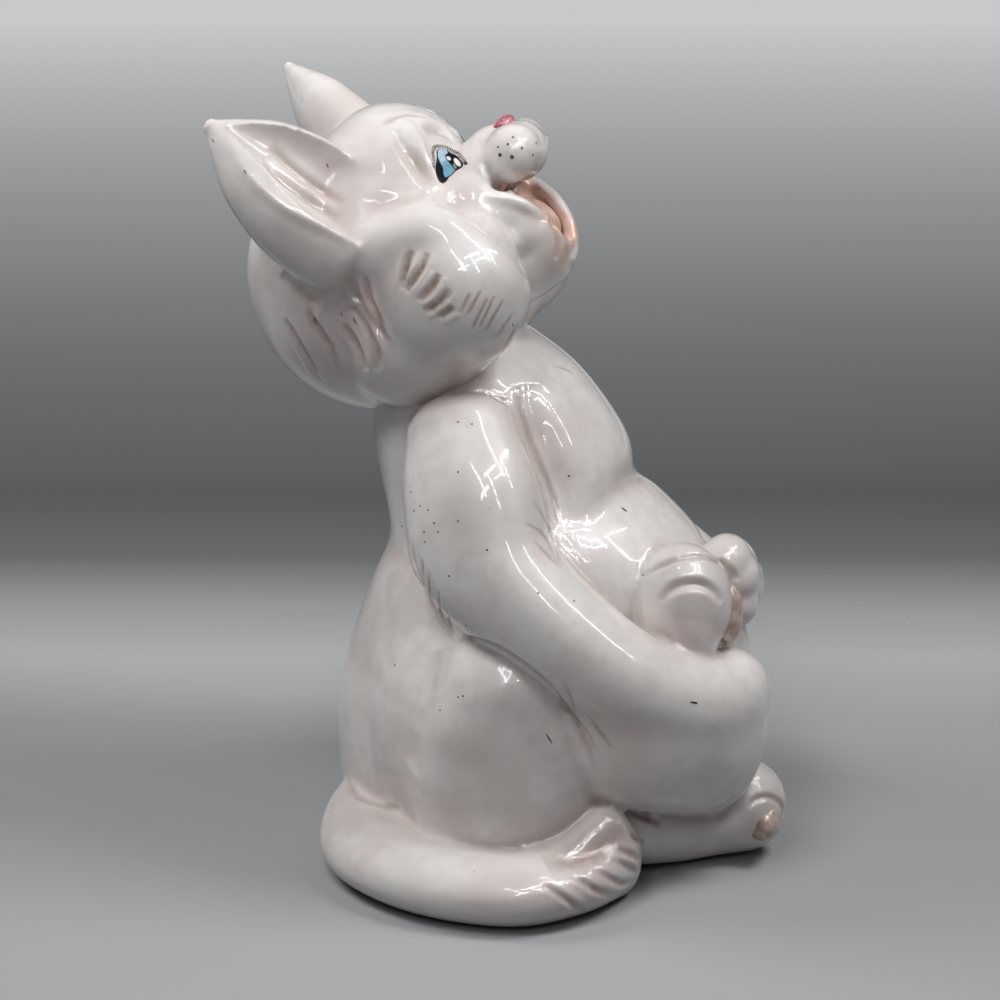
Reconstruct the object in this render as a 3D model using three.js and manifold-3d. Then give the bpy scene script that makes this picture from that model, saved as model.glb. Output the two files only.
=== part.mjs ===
// Seated pottery cat with its head thrown back, put together from hollow and solid clay pieces.
// Millimetres, +Z up, the cat faces +X, its left side is +Y. It sits on Z = 0.
import * as THREE from 'three';
import { LoftGeometry } from 'three/addons/geometries/LoftGeometry.js';
import { mergeVertices } from 'three/addons/utils/BufferGeometryUtils.js';
import Module from 'manifold-3d';

const wasm = await Module();
wasm.setup();

// The clay.
const WALL = 6;
const SLIP = 0.35;
const CORE_OVERRUN = 2;

// Torso: upright oval sections from the open foot to the neck, each a rise above the one below it.
const FOOT = { rise: 0, back: -53, front: 46, half: 49 };
const SEAT = { rise: 22, back: -56, front: 57, half: 53 };
const LAP = { rise: 30, back: -55, front: 66, half: 53 };
const BELLY = { rise: 32, back: -45, front: 72, half: 49 };
const WAIST = { rise: 20, back: -37, front: 69, half: 46 };
const FOLD = { rise: 20, back: -40, front: 50, half: 42 };
const CHEST = { rise: 18, back: -43, front: 41, half: 41 };
const COLLAR = { rise: 18, back: -40, front: 27, half: 36 };
const THROAT = { rise: 12, back: -35, front: 11, half: 28 };
const NECK = { rise: 9, back: -31, front: -3, half: 20 };

// Head: a ball tipped back on the neck. Its own frame has +X out of the face and +Z out of the crown.
const HEAD_TILT = 55;
const HEAD_BACK = 21;
const HEAD_LIFT = 12;
const SKULL = { deep: 48, half: 45, tall: 46.5 };
const BROW = { ahead: 24, up: 14.5, deep: 27, half: 31 };
const JOWL = { deep: 36, half: 26, tall: 27 };
const CHEEK = { deep: 27, half: 21, tall: 26 };
const MUZZLE = { reach: 10.5, side: 6.5, drop: 12, deep: 10, half: 10, tall: 9.2 };
const BRIDGE = { reach: 2, drop: 6, deep: 13, half: 11, tall: 9 };
const UPPER_LIP = { reach: -2, drop: 7, deep: 14, half: 17, tall: 9.5 };
const NOSE = { deep: 4, half: 5.5, tall: 3 };
const JAW = { deep: 21, half: 23, tall: 20 };
const CORNER = { deep: 13.5, half: 17, tall: 14 };
const MOUTH = { reach: 1, rise: 0.8, deep: 14.5, half: 14, tall: 18 };
const MOUTH_SLOT = { rise: 13.6, deep: 13, half: 21, tall: 3.8 };
const LIP = { rim: 2.5, backing: 4.2, behind: 4.5 };
const TONGUE = { deep: 8, half: 10, tall: 10 };
const EAR = { wide: 23, thick: 17 };
const RIGHT_EAR_LENGTH = 48;
const LEFT_EAR_LENGTH = 54;

// The roll round each cheek, from the ear to the throat: places in shares of the skull, then its radius.
const CHEEK_ROLL = [
  { ahead: 0.29, side: 0.84, up: 0.05, thick: 10.5 },
  { ahead: 0.46, side: 0.87, up: -0.08, thick: 11.5 },
  { ahead: 0.61, side: 0.84, up: -0.22, thick: 12 },
  { ahead: 0.66, side: 0.78, up: -0.45, thick: 12.5 },
  { ahead: 0.61, side: 0.64, up: -0.66, thick: 11.5 },
  { ahead: 0.52, side: 0.53, up: -0.75, thick: 10 },
];

// The lower lip from a corner of the mouth to the chin, in shares of the jaw.
const LIP_LINE = [
  { ahead: 0.59, side: 0.87, up: 0.81 },
  { ahead: 0.71, side: 0.73, up: 0.44 },
  { ahead: 0.78, side: 0.62, up: 0.19 },
  { ahead: 0.79, side: 0.48, up: -0.11 },
  { ahead: 0.71, side: 0.33, up: -0.46 },
  { ahead: 0.54, side: 0.18, up: -0.74 },
];
const CHIN = { ahead: 0.4, side: 0, up: -0.88 };

// An ear's outside and the scoop in it: shares of its length, of its thickness outward and of its width.
const EAR_SHELL = [
  { along: -0.12, out: 0, over: 0, wide: 1, thick: 1 },
  { along: 0.25, out: 0, over: 0, wide: 0.97, thick: 0.92 },
  { along: 0.6, out: 0, over: 0, wide: 0.74, thick: 0.66 },
  { along: 0.84, out: 0, over: 0, wide: 0.46, thick: 0.42 },
  { along: 0.95, out: 0, over: 0, wide: 0.26, thick: 0.26 },
];
const EAR_SCOOP = [
  { along: -0.3, out: 1.2, over: 0.16, wide: 0.66, thick: 0.7 },
  { along: 0, out: 0.92, over: 0.16, wide: 0.7, thick: 0.8 },
  { along: 0.24, out: 0.88, over: 0.15, wide: 0.68, thick: 0.78 },
  { along: 0.55, out: 0.64, over: 0.13, wide: 0.47, thick: 0.55 },
  { along: 0.84, out: 0.4, over: 0.06, wide: 0.16, thick: 0.2 },
];

// Limbs: their radii.
const ARM = { top: 19, upper: 22.5, elbow: 23, fore: 19, wrist: 18, paw: 13 };
const FINGER = { deep: 7.2, half: 8, tall: 7.9 };
const THIGH = { ahead: 12.5, sink: 7, up: 43, deep: 34, half: 29, tall: 44, leftIn: 3 };
const HAUNCH = { behind: 17.5, sink: 12, rise: 2, deep: 31, half: 25.5, tall: 44 };
const LEG = { knee: 23, shin: 22, ankle: 14, foot: 15 };
const SOLE = { deep: 15.5, half: 12.5, tall: 17.5 };
const HEEL = { deep: 11, half: 11, tall: 14 };
const NEAR_TOE = { deep: 12, half: 10.5, tall: 13 };
const TOE_HOOD = { from: 190, to: 23, turns: 5, reach: 14.5, side: 7, bulge: 5, thick: 4.8 };
const RIGHT_PAD = { deep: 5, half: 6, tall: 5 };
const LEFT_PAD = { deep: 4.6, half: 5.4, tall: 9 };
const TAIL = { root: 13, thick: 16, low: 11, tuft: 11.5, rise: 17, nest: 12 };

// Limbs: the turns of their paths, each behind a front, sunk in a flank and above a height of the body.
const SHOULDER = { behind: 45, sink: 5, above: -15 };
const UPPER_ARM = { behind: 40, sink: -4, above: 6 };
const ELBOW = { behind: 33, sink: -5, above: 6 };
const ELBOW_FRONT = { behind: 15, sink: -6, above: 10 };
const RIGHT_FOREARM = { behind: 22, sink: -3, above: -8 };
const RIGHT_WRIST = { behind: 2, sink: 7, above: -20 };
const RIGHT_HAND = { behind: -9, sink: 20, above: -24 };
const RIGHT_PAW = { behind: -11, sink: 24, above: -22 };
const LEFT_FOREARM = { behind: 22, sink: 0, above: -6 };
const LEFT_WRIST = { behind: 4, sink: 15, above: -7 };
const LEFT_HAND = { behind: -5, sink: 34, above: 3 };
const LEFT_PAW = { behind: -5, sink: 43, above: 8 };
const LEFT_FINGERS = [
  { behind: -4, sink: 51, above: 17 },
  { behind: -10, sink: 50, above: 11 },
  { behind: -10, sink: 49, above: 0 },
];
const RIGHT_HIP = { behind: 10.5, sink: 6, above: 4 };
const RIGHT_LAP = { behind: -11.5, sink: 8, above: 1 };
const RIGHT_KNEE = { behind: -27.5, sink: 19, above: -3 };
const RIGHT_KNEE_FRONT = { behind: -34.5, sink: 26, above: -4 };
const RIGHT_SHIN = { behind: 14.5, sink: 17, above: 3 };
const RIGHT_CALF = { behind: -3.5, sink: 21, above: 0 };
const RIGHT_ANKLE = { behind: -18.5, sink: 30, above: -2 };
const RIGHT_INSTEP = { behind: -30.5, sink: 37, above: -1 };
const RIGHT_FOOT = { behind: -40.5, sink: 42, above: 0 };
const LEFT_KNEE = { behind: 12.4, sink: 14, above: 0 };
const LEFT_SHIN = { behind: 3, sink: 28, above: 6 };
const LEFT_ANKLE = { behind: 10, above: -15 };
const LEFT_HEEL = { behind: 8, sink: 34, above: 1 };
const LEFT_FOOT = { behind: 3, sink: 25, above: 9 };
const LEFT_FOOT_BACK = { behind: 12, sink: 21, above: 2 };
const LEFT_TOE = { behind: 3, sink: 18, above: 3 };
const TAIL_BACK = { root: 22, corner: 16, side: 26, sideIn: 20 };
const TAIL_SIDE = { behind: 19.5, behindIn: 3, ahead: 8.5 };
const TAIL_TUFT = { curl: 8.5, curlIn: 10, ahead: 2.5, aheadIn: 23 };

const v = (x, y, z) => new THREE.Vector3(x, y, z);

function solid(geometry) {
  geometry.deleteAttribute('normal');
  geometry.deleteAttribute('uv');
  const welded = mergeVertices(geometry, 1e-4);
  return new wasm.Manifold(new wasm.Mesh({
    numProp: 3,
    vertProperties: new Float32Array(welded.attributes.position.array),
    triVerts: new Uint32Array(welded.index.array),
  }));
}

const loft = (rings) => new THREE.BufferGeometry().copy(
  new LoftGeometry(rings, { closed: true, capStart: true, capEnd: true }),
);

// Oval sections one above the other, drawn through as one smooth surface.
function stack(levels, inset, sides, steps, below = 0, above = 0) {
  const middle = new THREE.SplineCurve(levels.map((s) => new THREE.Vector2((s.back + s.front) / 2, s.z)));
  const size = new THREE.SplineCurve(levels.map((s) => new THREE.Vector2((s.front - s.back) / 2, s.half)));
  const rings = [];
  for (let i = 0; i <= steps; i += 1) {
    const c = middle.getPoint(i / steps);
    const r = size.getPoint(i / steps);
    const z = c.y + (i === 0 ? -below : 0) + (i === steps ? above : 0);
    const ring = [];
    for (let k = 0; k < sides; k += 1) {
      const turn = (k / sides) * Math.PI * 2;
      ring.push(v(c.x + (r.x - inset) * Math.cos(turn), (r.y - inset) * Math.sin(turn), z));
    }
    rings.push(ring);
  }
  return loft(rings);
}

// A limb: oval sections along a smooth path with domed ends. The first radius lies along `across`.
function limb(stations, across, grow, sides, steps) {
  const path = new THREE.CatmullRomCurve3(stations.map((s) => s[0]));
  const size = new THREE.SplineCurve(stations.map((s) => new THREE.Vector2(s[1] + grow, s[2] + grow)));
  const rings = [];
  const ring = (t, shift, share) => {
    const along = path.getTangent(t).normalize();
    const one = across.clone().addScaledVector(along, -across.dot(along)).normalize();
    const two = along.clone().cross(one);
    const centre = path.getPoint(t);
    const r = size.getPoint(t);
    const reach = Math.min(r.x, r.y) * shift;
    const points = [];
    for (let k = 0; k < sides; k += 1) {
      const turn = (k / sides) * Math.PI * 2;
      points.push(centre.clone().addScaledVector(along, reach)
        .addScaledVector(one, r.x * share * Math.cos(turn))
        .addScaledVector(two, r.y * share * Math.sin(turn)));
    }
    rings.push(points);
  };
  for (const a of [0.25, 0.6, 1.05]) ring(0, -Math.cos(a), Math.sin(a));
  for (let i = 0; i <= steps; i += 1) ring(i / steps, 0, 1);
  for (const a of [1.05, 0.6, 0.25]) ring(1, Math.cos(a), Math.sin(a));
  return loft(rings);
}

function ball(at, deep, half, tall, grow, sides = 24) {
  const shape = new THREE.SphereGeometry(1, sides, Math.round(sides * 0.6));
  shape.rotateX(Math.PI / 2);
  shape.scale(deep + grow, half + grow, tall + grow);
  return shape.translate(at.x, at.y, at.z);
}

const join = (...geometries) => geometries.map(solid).reduce((a, b) => a.add(b));
const flank = (level, side, sink) => side * (level.half - sink);
const turnAt = (front, level, side, height, turn) => v(
  front - turn.behind, flank(level, side, turn.sink), height + turn.above,
);

// The ground: every piece that reaches it is cut off flat.
const groundSpan = 8 * (LAP.front - LAP.back);
const ground = solid(
  new THREE.BoxGeometry(groundSpan, groundSpan, groundSpan).translate(0, 0, -groundSpan / 2),
);

const torsoLevels = [FOOT, SEAT, LAP, BELLY, WAIST, FOLD, CHEST, COLLAR, THROAT, NECK];
torsoLevels.reduce((below, level) => {
  level.z = below + level.rise;
  return level.z;
}, 0);
const torsoFilled = (grow) => solid(stack(torsoLevels, -grow, 30, 20, 0, grow));
const torsoCore = () => solid(stack(torsoLevels, WALL, 20, 11, CORE_OVERRUN, CORE_OVERRUN));

const headGroup = new THREE.Group();
headGroup.name = 'head';
headGroup.position.set((NECK.back + NECK.front) / 2 - HEAD_BACK, 0, NECK.z + HEAD_LIFT);
headGroup.rotation.y = THREE.MathUtils.degToRad(-HEAD_TILT);
headGroup.updateMatrix();
const inHead = (geometry) => geometry.applyMatrix4(headGroup.matrix);

const headFilled = (grow) => join(
  inHead(ball(v(0, 0, 0), SKULL.deep, SKULL.half, SKULL.tall, grow, 26)),
  inHead(ball(v(BROW.ahead, 0, BROW.up), BROW.deep, BROW.half, BROW.deep, grow, 20)),
);
const headCore = () => solid(inHead(ball(v(0, 0, 0), SKULL.deep, SKULL.half, SKULL.tall, -WALL, 18)));

const inSkull = (share, side) => v(
  SKULL.deep * share.ahead, side * SKULL.half * share.side, SKULL.tall * share.up,
);

const earForm = (side, length) => (grow) => {
  const rootAt = inSkull({ ahead: 0.27, side: 0.8, up: 0.5 }, side);
  const lean = v(0.12, side * 0.28, 0.95).normalize();
  const across = v(0.55, -side * 0.8, 0.12).normalize();
  const outward = lean.clone().cross(across).multiplyScalar(side).normalize();
  const roll = (stations, more, sides, steps) => inHead(limb(stations.map((s) => [
    rootAt.clone().addScaledVector(lean, length * s.along)
      .addScaledVector(outward, EAR.thick * s.out)
      .addScaledVector(across, EAR.wide * s.over),
    EAR.wide * s.wide,
    EAR.thick * s.thick,
  ]), across, more, sides, steps));
  return solid(roll(EAR_SHELL, grow, 18, 10)).subtract(solid(roll(EAR_SCOOP, -grow, 16, 9)));
};

const cheekForm = (side) => (grow) => {
  const jowlAt = inSkull({ ahead: 0.125, side: 0.53, up: -0.45 }, side);
  const cheekAt = inSkull({ ahead: 0.42, side: 0.73, up: -0.45 }, side);
  const roll = CHEEK_ROLL.map((s) => [inSkull(s, side), s.thick, s.thick]);
  return join(
    inHead(ball(jowlAt, JOWL.deep, JOWL.half, JOWL.tall, grow, 24)),
    inHead(ball(cheekAt, CHEEK.deep, CHEEK.half, CHEEK.tall, grow, 22)),
    inHead(limb(roll, v(0, 1, 0), grow, 14, 14)),
  );
};

const muzzleAt = (side) => v(SKULL.deep + MUZZLE.reach, side * MUZZLE.side, -MUZZLE.drop);
const overMouth = (form, grow) => inHead(ball(
  v(SKULL.deep + form.reach, 0, -form.drop), form.deep, form.half, form.tall, grow, 16,
));
const muzzleForm = (grow) => join(
  ...[-1, 0, 1].map((side) => inHead(
    ball(muzzleAt(side), MUZZLE.deep, MUZZLE.half, MUZZLE.tall, grow, 16),
  )),
  overMouth(BRIDGE, grow),
  overMouth(UPPER_LIP, grow),
);

const noseForm = (grow) => solid(inHead(ball(
  v(muzzleAt(0).x + MUZZLE.deep * 0.4, 0, muzzleAt(0).z + MUZZLE.tall * 0.93),
  NOSE.deep, NOSE.half, NOSE.tall, grow, 12,
)));

const jawAt = inSkull({ ahead: 0.69, side: 0, up: -0.62 }, 1);
const mouthAt = v(jawAt.x + JAW.deep + MOUTH.reach, 0, jawAt.z + MOUTH.rise);
const slotAt = v(mouthAt.x, 0, jawAt.z + MOUTH_SLOT.rise);
const mouthForm = (grow) => join(
  inHead(ball(mouthAt, MOUTH.deep, MOUTH.half, MOUTH.tall, grow, 20)),
  inHead(ball(slotAt, MOUTH_SLOT.deep, MOUTH_SLOT.half, MOUTH_SLOT.tall, grow, 18)),
);
const lipRoll = (behind, radius, grow) => {
  const onJaw = (s, side) => v(
    jawAt.x + JAW.deep * s.ahead - behind, side * JAW.half * s.side, jawAt.z + JAW.tall * s.up,
  );
  const path = [
    ...LIP_LINE.map((s) => onJaw(s, -1)), onJaw(CHIN, 1), ...LIP_LINE.map((s) => onJaw(s, 1)).reverse(),
  ];
  return inHead(limb(path.map((at) => [at, radius, radius]), v(1, 0, 0), grow, 10, 26));
};
const jawForm = (grow) => join(
  inHead(ball(jawAt, JAW.deep, JAW.half, JAW.tall, grow, 22)),
  ...[-1, 1].map((side) => inHead(ball(
    inSkull({ ahead: 0.79, side: 0.2, up: -0.26 }, side), CORNER.deep, CORNER.half, CORNER.tall, grow, 18,
  ))),
  lipRoll(LIP.behind, LIP.backing, grow),
).subtract(mouthForm(-grow)).add(solid(lipRoll(0, LIP.rim, grow)));

const tongueForm = (grow) => solid(inHead(ball(
  v(mouthAt.x - MOUTH.deep * 0.75, 0, jawAt.z - JAW.tall * 0.1),
  TONGUE.deep, TONGUE.half, TONGUE.tall, grow, 14,
)));

const thighAt = (side) => v(
  THIGH.ahead, flank(LAP, side, THIGH.sink + (side > 0 ? THIGH.leftIn : 0)), THIGH.up,
);
const thighForm = (side) => (grow) => {
  const at = thighAt(side);
  const haunchAt = v(at.x - HAUNCH.behind, at.y - side * HAUNCH.sink, at.z + HAUNCH.rise);
  return join(
    ball(at, THIGH.deep, THIGH.half, THIGH.tall, grow, 24),
    ball(haunchAt, HAUNCH.deep, HAUNCH.half, HAUNCH.tall, grow, 24),
  ).subtract(ground);
};

// Both upper arms hang alike; the right paw lies on the knee, the left one holds the raised foot.
const upperArm = (side) => [
  [turnAt(CHEST.front, CHEST, side, COLLAR.z, SHOULDER), ARM.top * 0.9, ARM.top],
  [turnAt(CHEST.front, CHEST, side, FOLD.z, UPPER_ARM), ARM.upper * 0.85, ARM.upper],
  [turnAt(CHEST.front, WAIST, side, WAIST.z, ELBOW), ARM.elbow * 0.85, ARM.elbow * 0.96],
  [turnAt(CHEST.front, BELLY, side, BELLY.z, ELBOW_FRONT), ARM.elbow * 0.82, ARM.elbow * 0.79],
];
const overBelly = (side, turn) => turnAt(BELLY.front, BELLY, side, BELLY.z, turn);
const rightArmForm = (grow) => join(
  limb([
    ...upperArm(-1),
    [overBelly(-1, RIGHT_FOREARM), ARM.fore * 0.9, ARM.fore * 0.87],
    [overBelly(-1, RIGHT_WRIST), ARM.wrist * 0.9, ARM.wrist * 0.92],
    [overBelly(-1, RIGHT_HAND), ARM.wrist * 0.83, ARM.wrist * 0.89],
  ], v(0, 1, 0), grow, 16, 17),
  ball(overBelly(-1, RIGHT_PAW), ARM.paw * 1.05, ARM.paw * 1.15, ARM.paw * 1.2, grow, 18),
);

const leftArmForm = (grow) => join(
  limb([
    ...upperArm(1),
    [overBelly(1, LEFT_FOREARM), ARM.fore * 0.9, ARM.fore],
    [overBelly(1, LEFT_WRIST), ARM.fore * 0.8, ARM.fore * 0.8],
    [overBelly(1, LEFT_HAND), ARM.paw * 0.9, ARM.paw * 0.9],
  ], v(0, 1, 0), grow, 16, 16),
  ball(overBelly(1, LEFT_PAW), ARM.paw * 0.85, ARM.paw, ARM.paw * 1.08, grow, 16),
  ...LEFT_FINGERS.map((turn) => ball(
    overBelly(1, turn), FINGER.deep, FINGER.half, FINGER.tall, grow, 12,
  )),
);

// The right knee is drawn up beside the thigh, and its shin and foot lie below it on the ground.
const thighFront = THIGH.ahead + THIGH.deep;
const pastThigh = (side, height, turn) => turnAt(thighFront, LAP, side, height, turn);
const footAt = pastThigh(-1, LEG.foot, RIGHT_FOOT);
const rightLegForm = (grow) => join(
  limb([
    [pastThigh(-1, LAP.z, RIGHT_HIP), LEG.shin * 0.68, LEG.shin],
    [pastThigh(-1, LAP.z, RIGHT_LAP), LEG.shin * 0.82, LEG.shin * 1.18],
    [pastThigh(-1, LAP.z, RIGHT_KNEE), LEG.shin * 0.77, LEG.shin * 1.23],
    [pastThigh(-1, LAP.z, RIGHT_KNEE_FRONT), LEG.shin * 0.68, LEG.shin * 1.23],
  ], v(0, 1, 0), grow, 18, 9),
  limb([
    [pastThigh(-1, LEG.foot, RIGHT_SHIN), LEG.ankle, LEG.ankle],
    [pastThigh(-1, LEG.foot, RIGHT_CALF), LEG.ankle * 0.93, LEG.ankle * 1.07],
    [pastThigh(-1, LEG.foot, RIGHT_ANKLE), LEG.ankle * 0.93, LEG.ankle * 0.93],
    [pastThigh(-1, LEG.foot, RIGHT_INSTEP), LEG.ankle * 0.96, LEG.ankle * 0.93],
    [footAt, LEG.ankle, LEG.ankle],
  ], v(0, 0, 1), grow, 14, 9),
  ball(footAt.clone().setZ(LEG.foot * 1.16), LEG.foot * 0.95, LEG.foot * 0.93, LEG.foot * 1.03, grow, 16),
).subtract(ground);

// The raised left foot: sole, heel and near toe, and the rolled edge that hoods the toe.
const soleAt = overBelly(-1, LEFT_FOOT);
const toeHood = (grow) => {
  const stations = [];
  for (let k = 0; k <= TOE_HOOD.turns; k += 1) {
    const share = k / TOE_HOOD.turns;
    const turn = THREE.MathUtils.degToRad(TOE_HOOD.from + (TOE_HOOD.to - TOE_HOOD.from) * share);
    const out = TOE_HOOD.side + TOE_HOOD.bulge * Math.sin(Math.PI * share);
    const at = v(TOE_HOOD.reach * Math.cos(turn), -out, TOE_HOOD.reach * Math.sin(turn)).add(soleAt);
    stations.push([at, TOE_HOOD.thick, TOE_HOOD.thick]);
  }
  return limb(stations, v(0, 1, 0), grow, 10, 10);
};
const leftLegForm = (grow) => join(
  limb([
    [pastThigh(1, LAP.z, LEFT_KNEE), LEG.knee * 0.9, LEG.knee * 0.9],
    [turnAt(LAP.front, LAP, 1, LAP.z, LEFT_SHIN), LEG.shin * 0.9, LEG.shin * 0.9],
    [v(BELLY.front - LEFT_ANKLE.behind, 0, BELLY.z + LEFT_ANKLE.above), LEG.ankle, LEG.ankle],
    [overBelly(-1, LEFT_HEEL), LEG.ankle, LEG.ankle],
  ], v(0, 0, 1), grow, 14, 8),
  ball(soleAt, SOLE.deep, SOLE.half, SOLE.tall, grow, 18),
  ball(overBelly(-1, LEFT_FOOT_BACK), HEEL.deep, HEEL.half, HEEL.tall, grow, 14),
  ball(overBelly(-1, LEFT_TOE), NEAR_TOE.deep, NEAR_TOE.half, NEAR_TOE.tall, grow, 16),
  toeHood(grow),
);

const padForm = (at, size) => (grow) => solid(ball(at, size.deep, size.half, size.tall, grow, 14));
const rightPadAt = v(footAt.x + LEG.foot * 0.62, footAt.y - LEG.foot * 0.62, footAt.z);
const leftPadAt = v(soleAt.x + SOLE.deep * 0.9, soleAt.y + SOLE.half * 0.2, soleAt.z - SOLE.tall * 0.1);

const tailLine = -(LAP.half - THIGH.sink) - THIGH.half - TAIL.thick + TAIL.nest;
const tailForm = (grow) => solid(limb([
  [v(SEAT.back + TAIL_BACK.root, -SEAT.half * 0.2, TAIL.root * 0.86), TAIL.root * 0.92, TAIL.root],
  [v(SEAT.back + TAIL_BACK.corner, -SEAT.half * 0.6, TAIL.low * 0.95), TAIL.low * 1.04, TAIL.root],
  [v(SEAT.back + TAIL_BACK.side, tailLine + TAIL_BACK.sideIn, TAIL.low * 0.91), TAIL.low, TAIL.thick],
  [v(THIGH.ahead - TAIL_SIDE.behind, tailLine + TAIL_SIDE.behindIn, TAIL.low * 0.91), TAIL.low, TAIL.thick],
  [v(THIGH.ahead + TAIL_SIDE.ahead, tailLine, TAIL.low * 0.91), TAIL.low, TAIL.thick],
  [
    v(thighFront - TAIL_TUFT.curl, tailLine + TAIL_TUFT.curlIn, TAIL.low * 1.05),
    TAIL.low * 1.11, TAIL.thick * 0.94,
  ],
  [v(thighFront + TAIL_TUFT.ahead, tailLine + TAIL_TUFT.aheadIn, TAIL.rise * 0.9), TAIL.rise, TAIL.tuft],
], v(0, 0, 1), grow, 14, 20)).subtract(ground);

const finishes = {
  glaze: { color: 0xd8d2d0, roughness: 0.2 },
  pink: { color: 0xc99a8c, roughness: 0.3 },
  red: { color: 0x8f2f35, roughness: 0.3 },
};

// The order of joining: a later piece is cut to seat on every earlier one with a layer of slip between.
const order = [
  { name: 'torso', form: torsoFilled, core: torsoCore, finish: 'glaze' },
  { name: 'skull', form: headFilled, core: headCore, finish: 'glaze', head: true },
  { name: 'right_cheek', form: cheekForm(-1), finish: 'glaze', head: true },
  { name: 'left_cheek', form: cheekForm(1), finish: 'glaze', head: true },
  { name: 'lower_jaw', form: jawForm, finish: 'glaze', head: true },
  { name: 'muzzle', form: muzzleForm, finish: 'glaze', head: true },
  { name: 'nose', form: noseForm, finish: 'red', head: true },
  { name: 'tongue', form: tongueForm, finish: 'pink', head: true },
  { name: 'right_ear', form: earForm(-1, RIGHT_EAR_LENGTH), finish: 'glaze', head: true },
  { name: 'left_ear', form: earForm(1, LEFT_EAR_LENGTH), finish: 'glaze', head: true },
  { name: 'right_thigh', form: thighForm(-1), finish: 'glaze' },
  { name: 'left_thigh', form: thighForm(1), finish: 'glaze' },
  { name: 'right_arm', form: rightArmForm, finish: 'glaze' },
  { name: 'left_arm', form: leftArmForm, finish: 'glaze' },
  { name: 'right_leg', form: rightLegForm, finish: 'glaze' },
  { name: 'left_leg', form: leftLegForm, finish: 'glaze' },
  { name: 'right_sole_pad', form: padForm(rightPadAt, RIGHT_PAD), finish: 'pink' },
  { name: 'left_sole_pad', form: padForm(leftPadAt, LEFT_PAD), finish: 'pink' },
  { name: 'tail', form: tailForm, finish: 'glaze' },
];

const figure = new THREE.Group();
figure.name = 'figure';
const bodyGroup = new THREE.Group();
bodyGroup.name = 'body';
figure.add(bodyGroup, headGroup);

function toMesh(piece, shape) {
  const data = shape.getMesh();
  const geometry = new THREE.BufferGeometry();
  geometry.setAttribute('position', new THREE.BufferAttribute(new Float32Array(data.vertProperties), 3));
  geometry.setIndex(new THREE.BufferAttribute(new Uint32Array(data.triVerts), 1));
  if (piece.head) geometry.applyMatrix4(headGroup.matrix.clone().invert());
  geometry.computeVertexNormals();
  const finish = finishes[piece.finish];
  const mesh = new THREE.Mesh(geometry, new THREE.MeshStandardMaterial({ ...finish, name: piece.finish }));
  mesh.name = piece.name;
  return mesh;
}

const largest = (shape) => shape.decompose().sort((a, b) => b.volume() - a.volume())[0];

const seats = [];
for (const piece of order) {
  let shape = piece.form(0);
  if (piece.core) shape = shape.subtract(piece.core());
  for (const seat of seats) shape = shape.subtract(seat);
  seats.push(piece.form(SLIP));
  (piece.head ? headGroup : bodyGroup).add(toMesh(piece, largest(shape)));
}

// The part's own frame: the middle of the figure's footprint box, on the ground.
const box = new THREE.Box3().setFromObject(figure, true);
const centre = box.getCenter(v(0, 0, 0));
figure.position.set(-centre.x, -centre.y, -box.min.z);

const cat = new THREE.Group();
cat.name = 'cat';
cat.add(figure);

export default cat;
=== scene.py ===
import math
import bmesh
import bpy
import numpy as np
from mathutils import Matrix, Vector
from mathutils.bvhtree import BVHTree


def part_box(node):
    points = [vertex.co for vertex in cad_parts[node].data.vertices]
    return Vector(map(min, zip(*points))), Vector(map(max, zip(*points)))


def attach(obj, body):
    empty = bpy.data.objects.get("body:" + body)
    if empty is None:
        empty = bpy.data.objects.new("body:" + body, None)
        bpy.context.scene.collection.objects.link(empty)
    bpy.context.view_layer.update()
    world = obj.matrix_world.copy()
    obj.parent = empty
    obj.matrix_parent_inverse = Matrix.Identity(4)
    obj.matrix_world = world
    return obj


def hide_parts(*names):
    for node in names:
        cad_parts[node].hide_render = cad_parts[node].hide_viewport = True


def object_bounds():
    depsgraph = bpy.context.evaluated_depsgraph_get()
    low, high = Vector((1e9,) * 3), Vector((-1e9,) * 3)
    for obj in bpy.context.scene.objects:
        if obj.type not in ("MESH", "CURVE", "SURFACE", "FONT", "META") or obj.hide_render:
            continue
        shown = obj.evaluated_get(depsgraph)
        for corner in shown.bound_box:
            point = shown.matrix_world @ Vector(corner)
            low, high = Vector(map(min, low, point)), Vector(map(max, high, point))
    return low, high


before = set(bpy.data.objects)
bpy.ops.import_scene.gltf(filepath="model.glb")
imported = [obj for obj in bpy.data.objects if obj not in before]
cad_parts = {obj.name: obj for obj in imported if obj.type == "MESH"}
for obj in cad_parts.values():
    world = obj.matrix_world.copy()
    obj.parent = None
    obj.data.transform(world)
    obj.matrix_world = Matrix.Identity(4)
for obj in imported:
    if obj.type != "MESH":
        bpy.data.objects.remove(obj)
cadLow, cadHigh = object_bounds()
torsoLow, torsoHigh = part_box("torso")
mm = 0.001
print("frame: loaded", len(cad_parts), "clay pieces")

# The figure's own zero: on the ground, between its two sides, this far ahead of the torso's back.
figure = {"aheadOfBack": 56.304}
figureZero = Vector((torsoLow.x + figure["aheadOfBack"] * mm, (torsoLow.y + torsoHigh.y) / 2, 0))


def toFrame(points):
    return np.asarray(points, float) * mm + np.array(figureZero)


def toFigure(points):
    return (np.asarray(points, float) - np.array(figureZero)) / mm


# Camera

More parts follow.
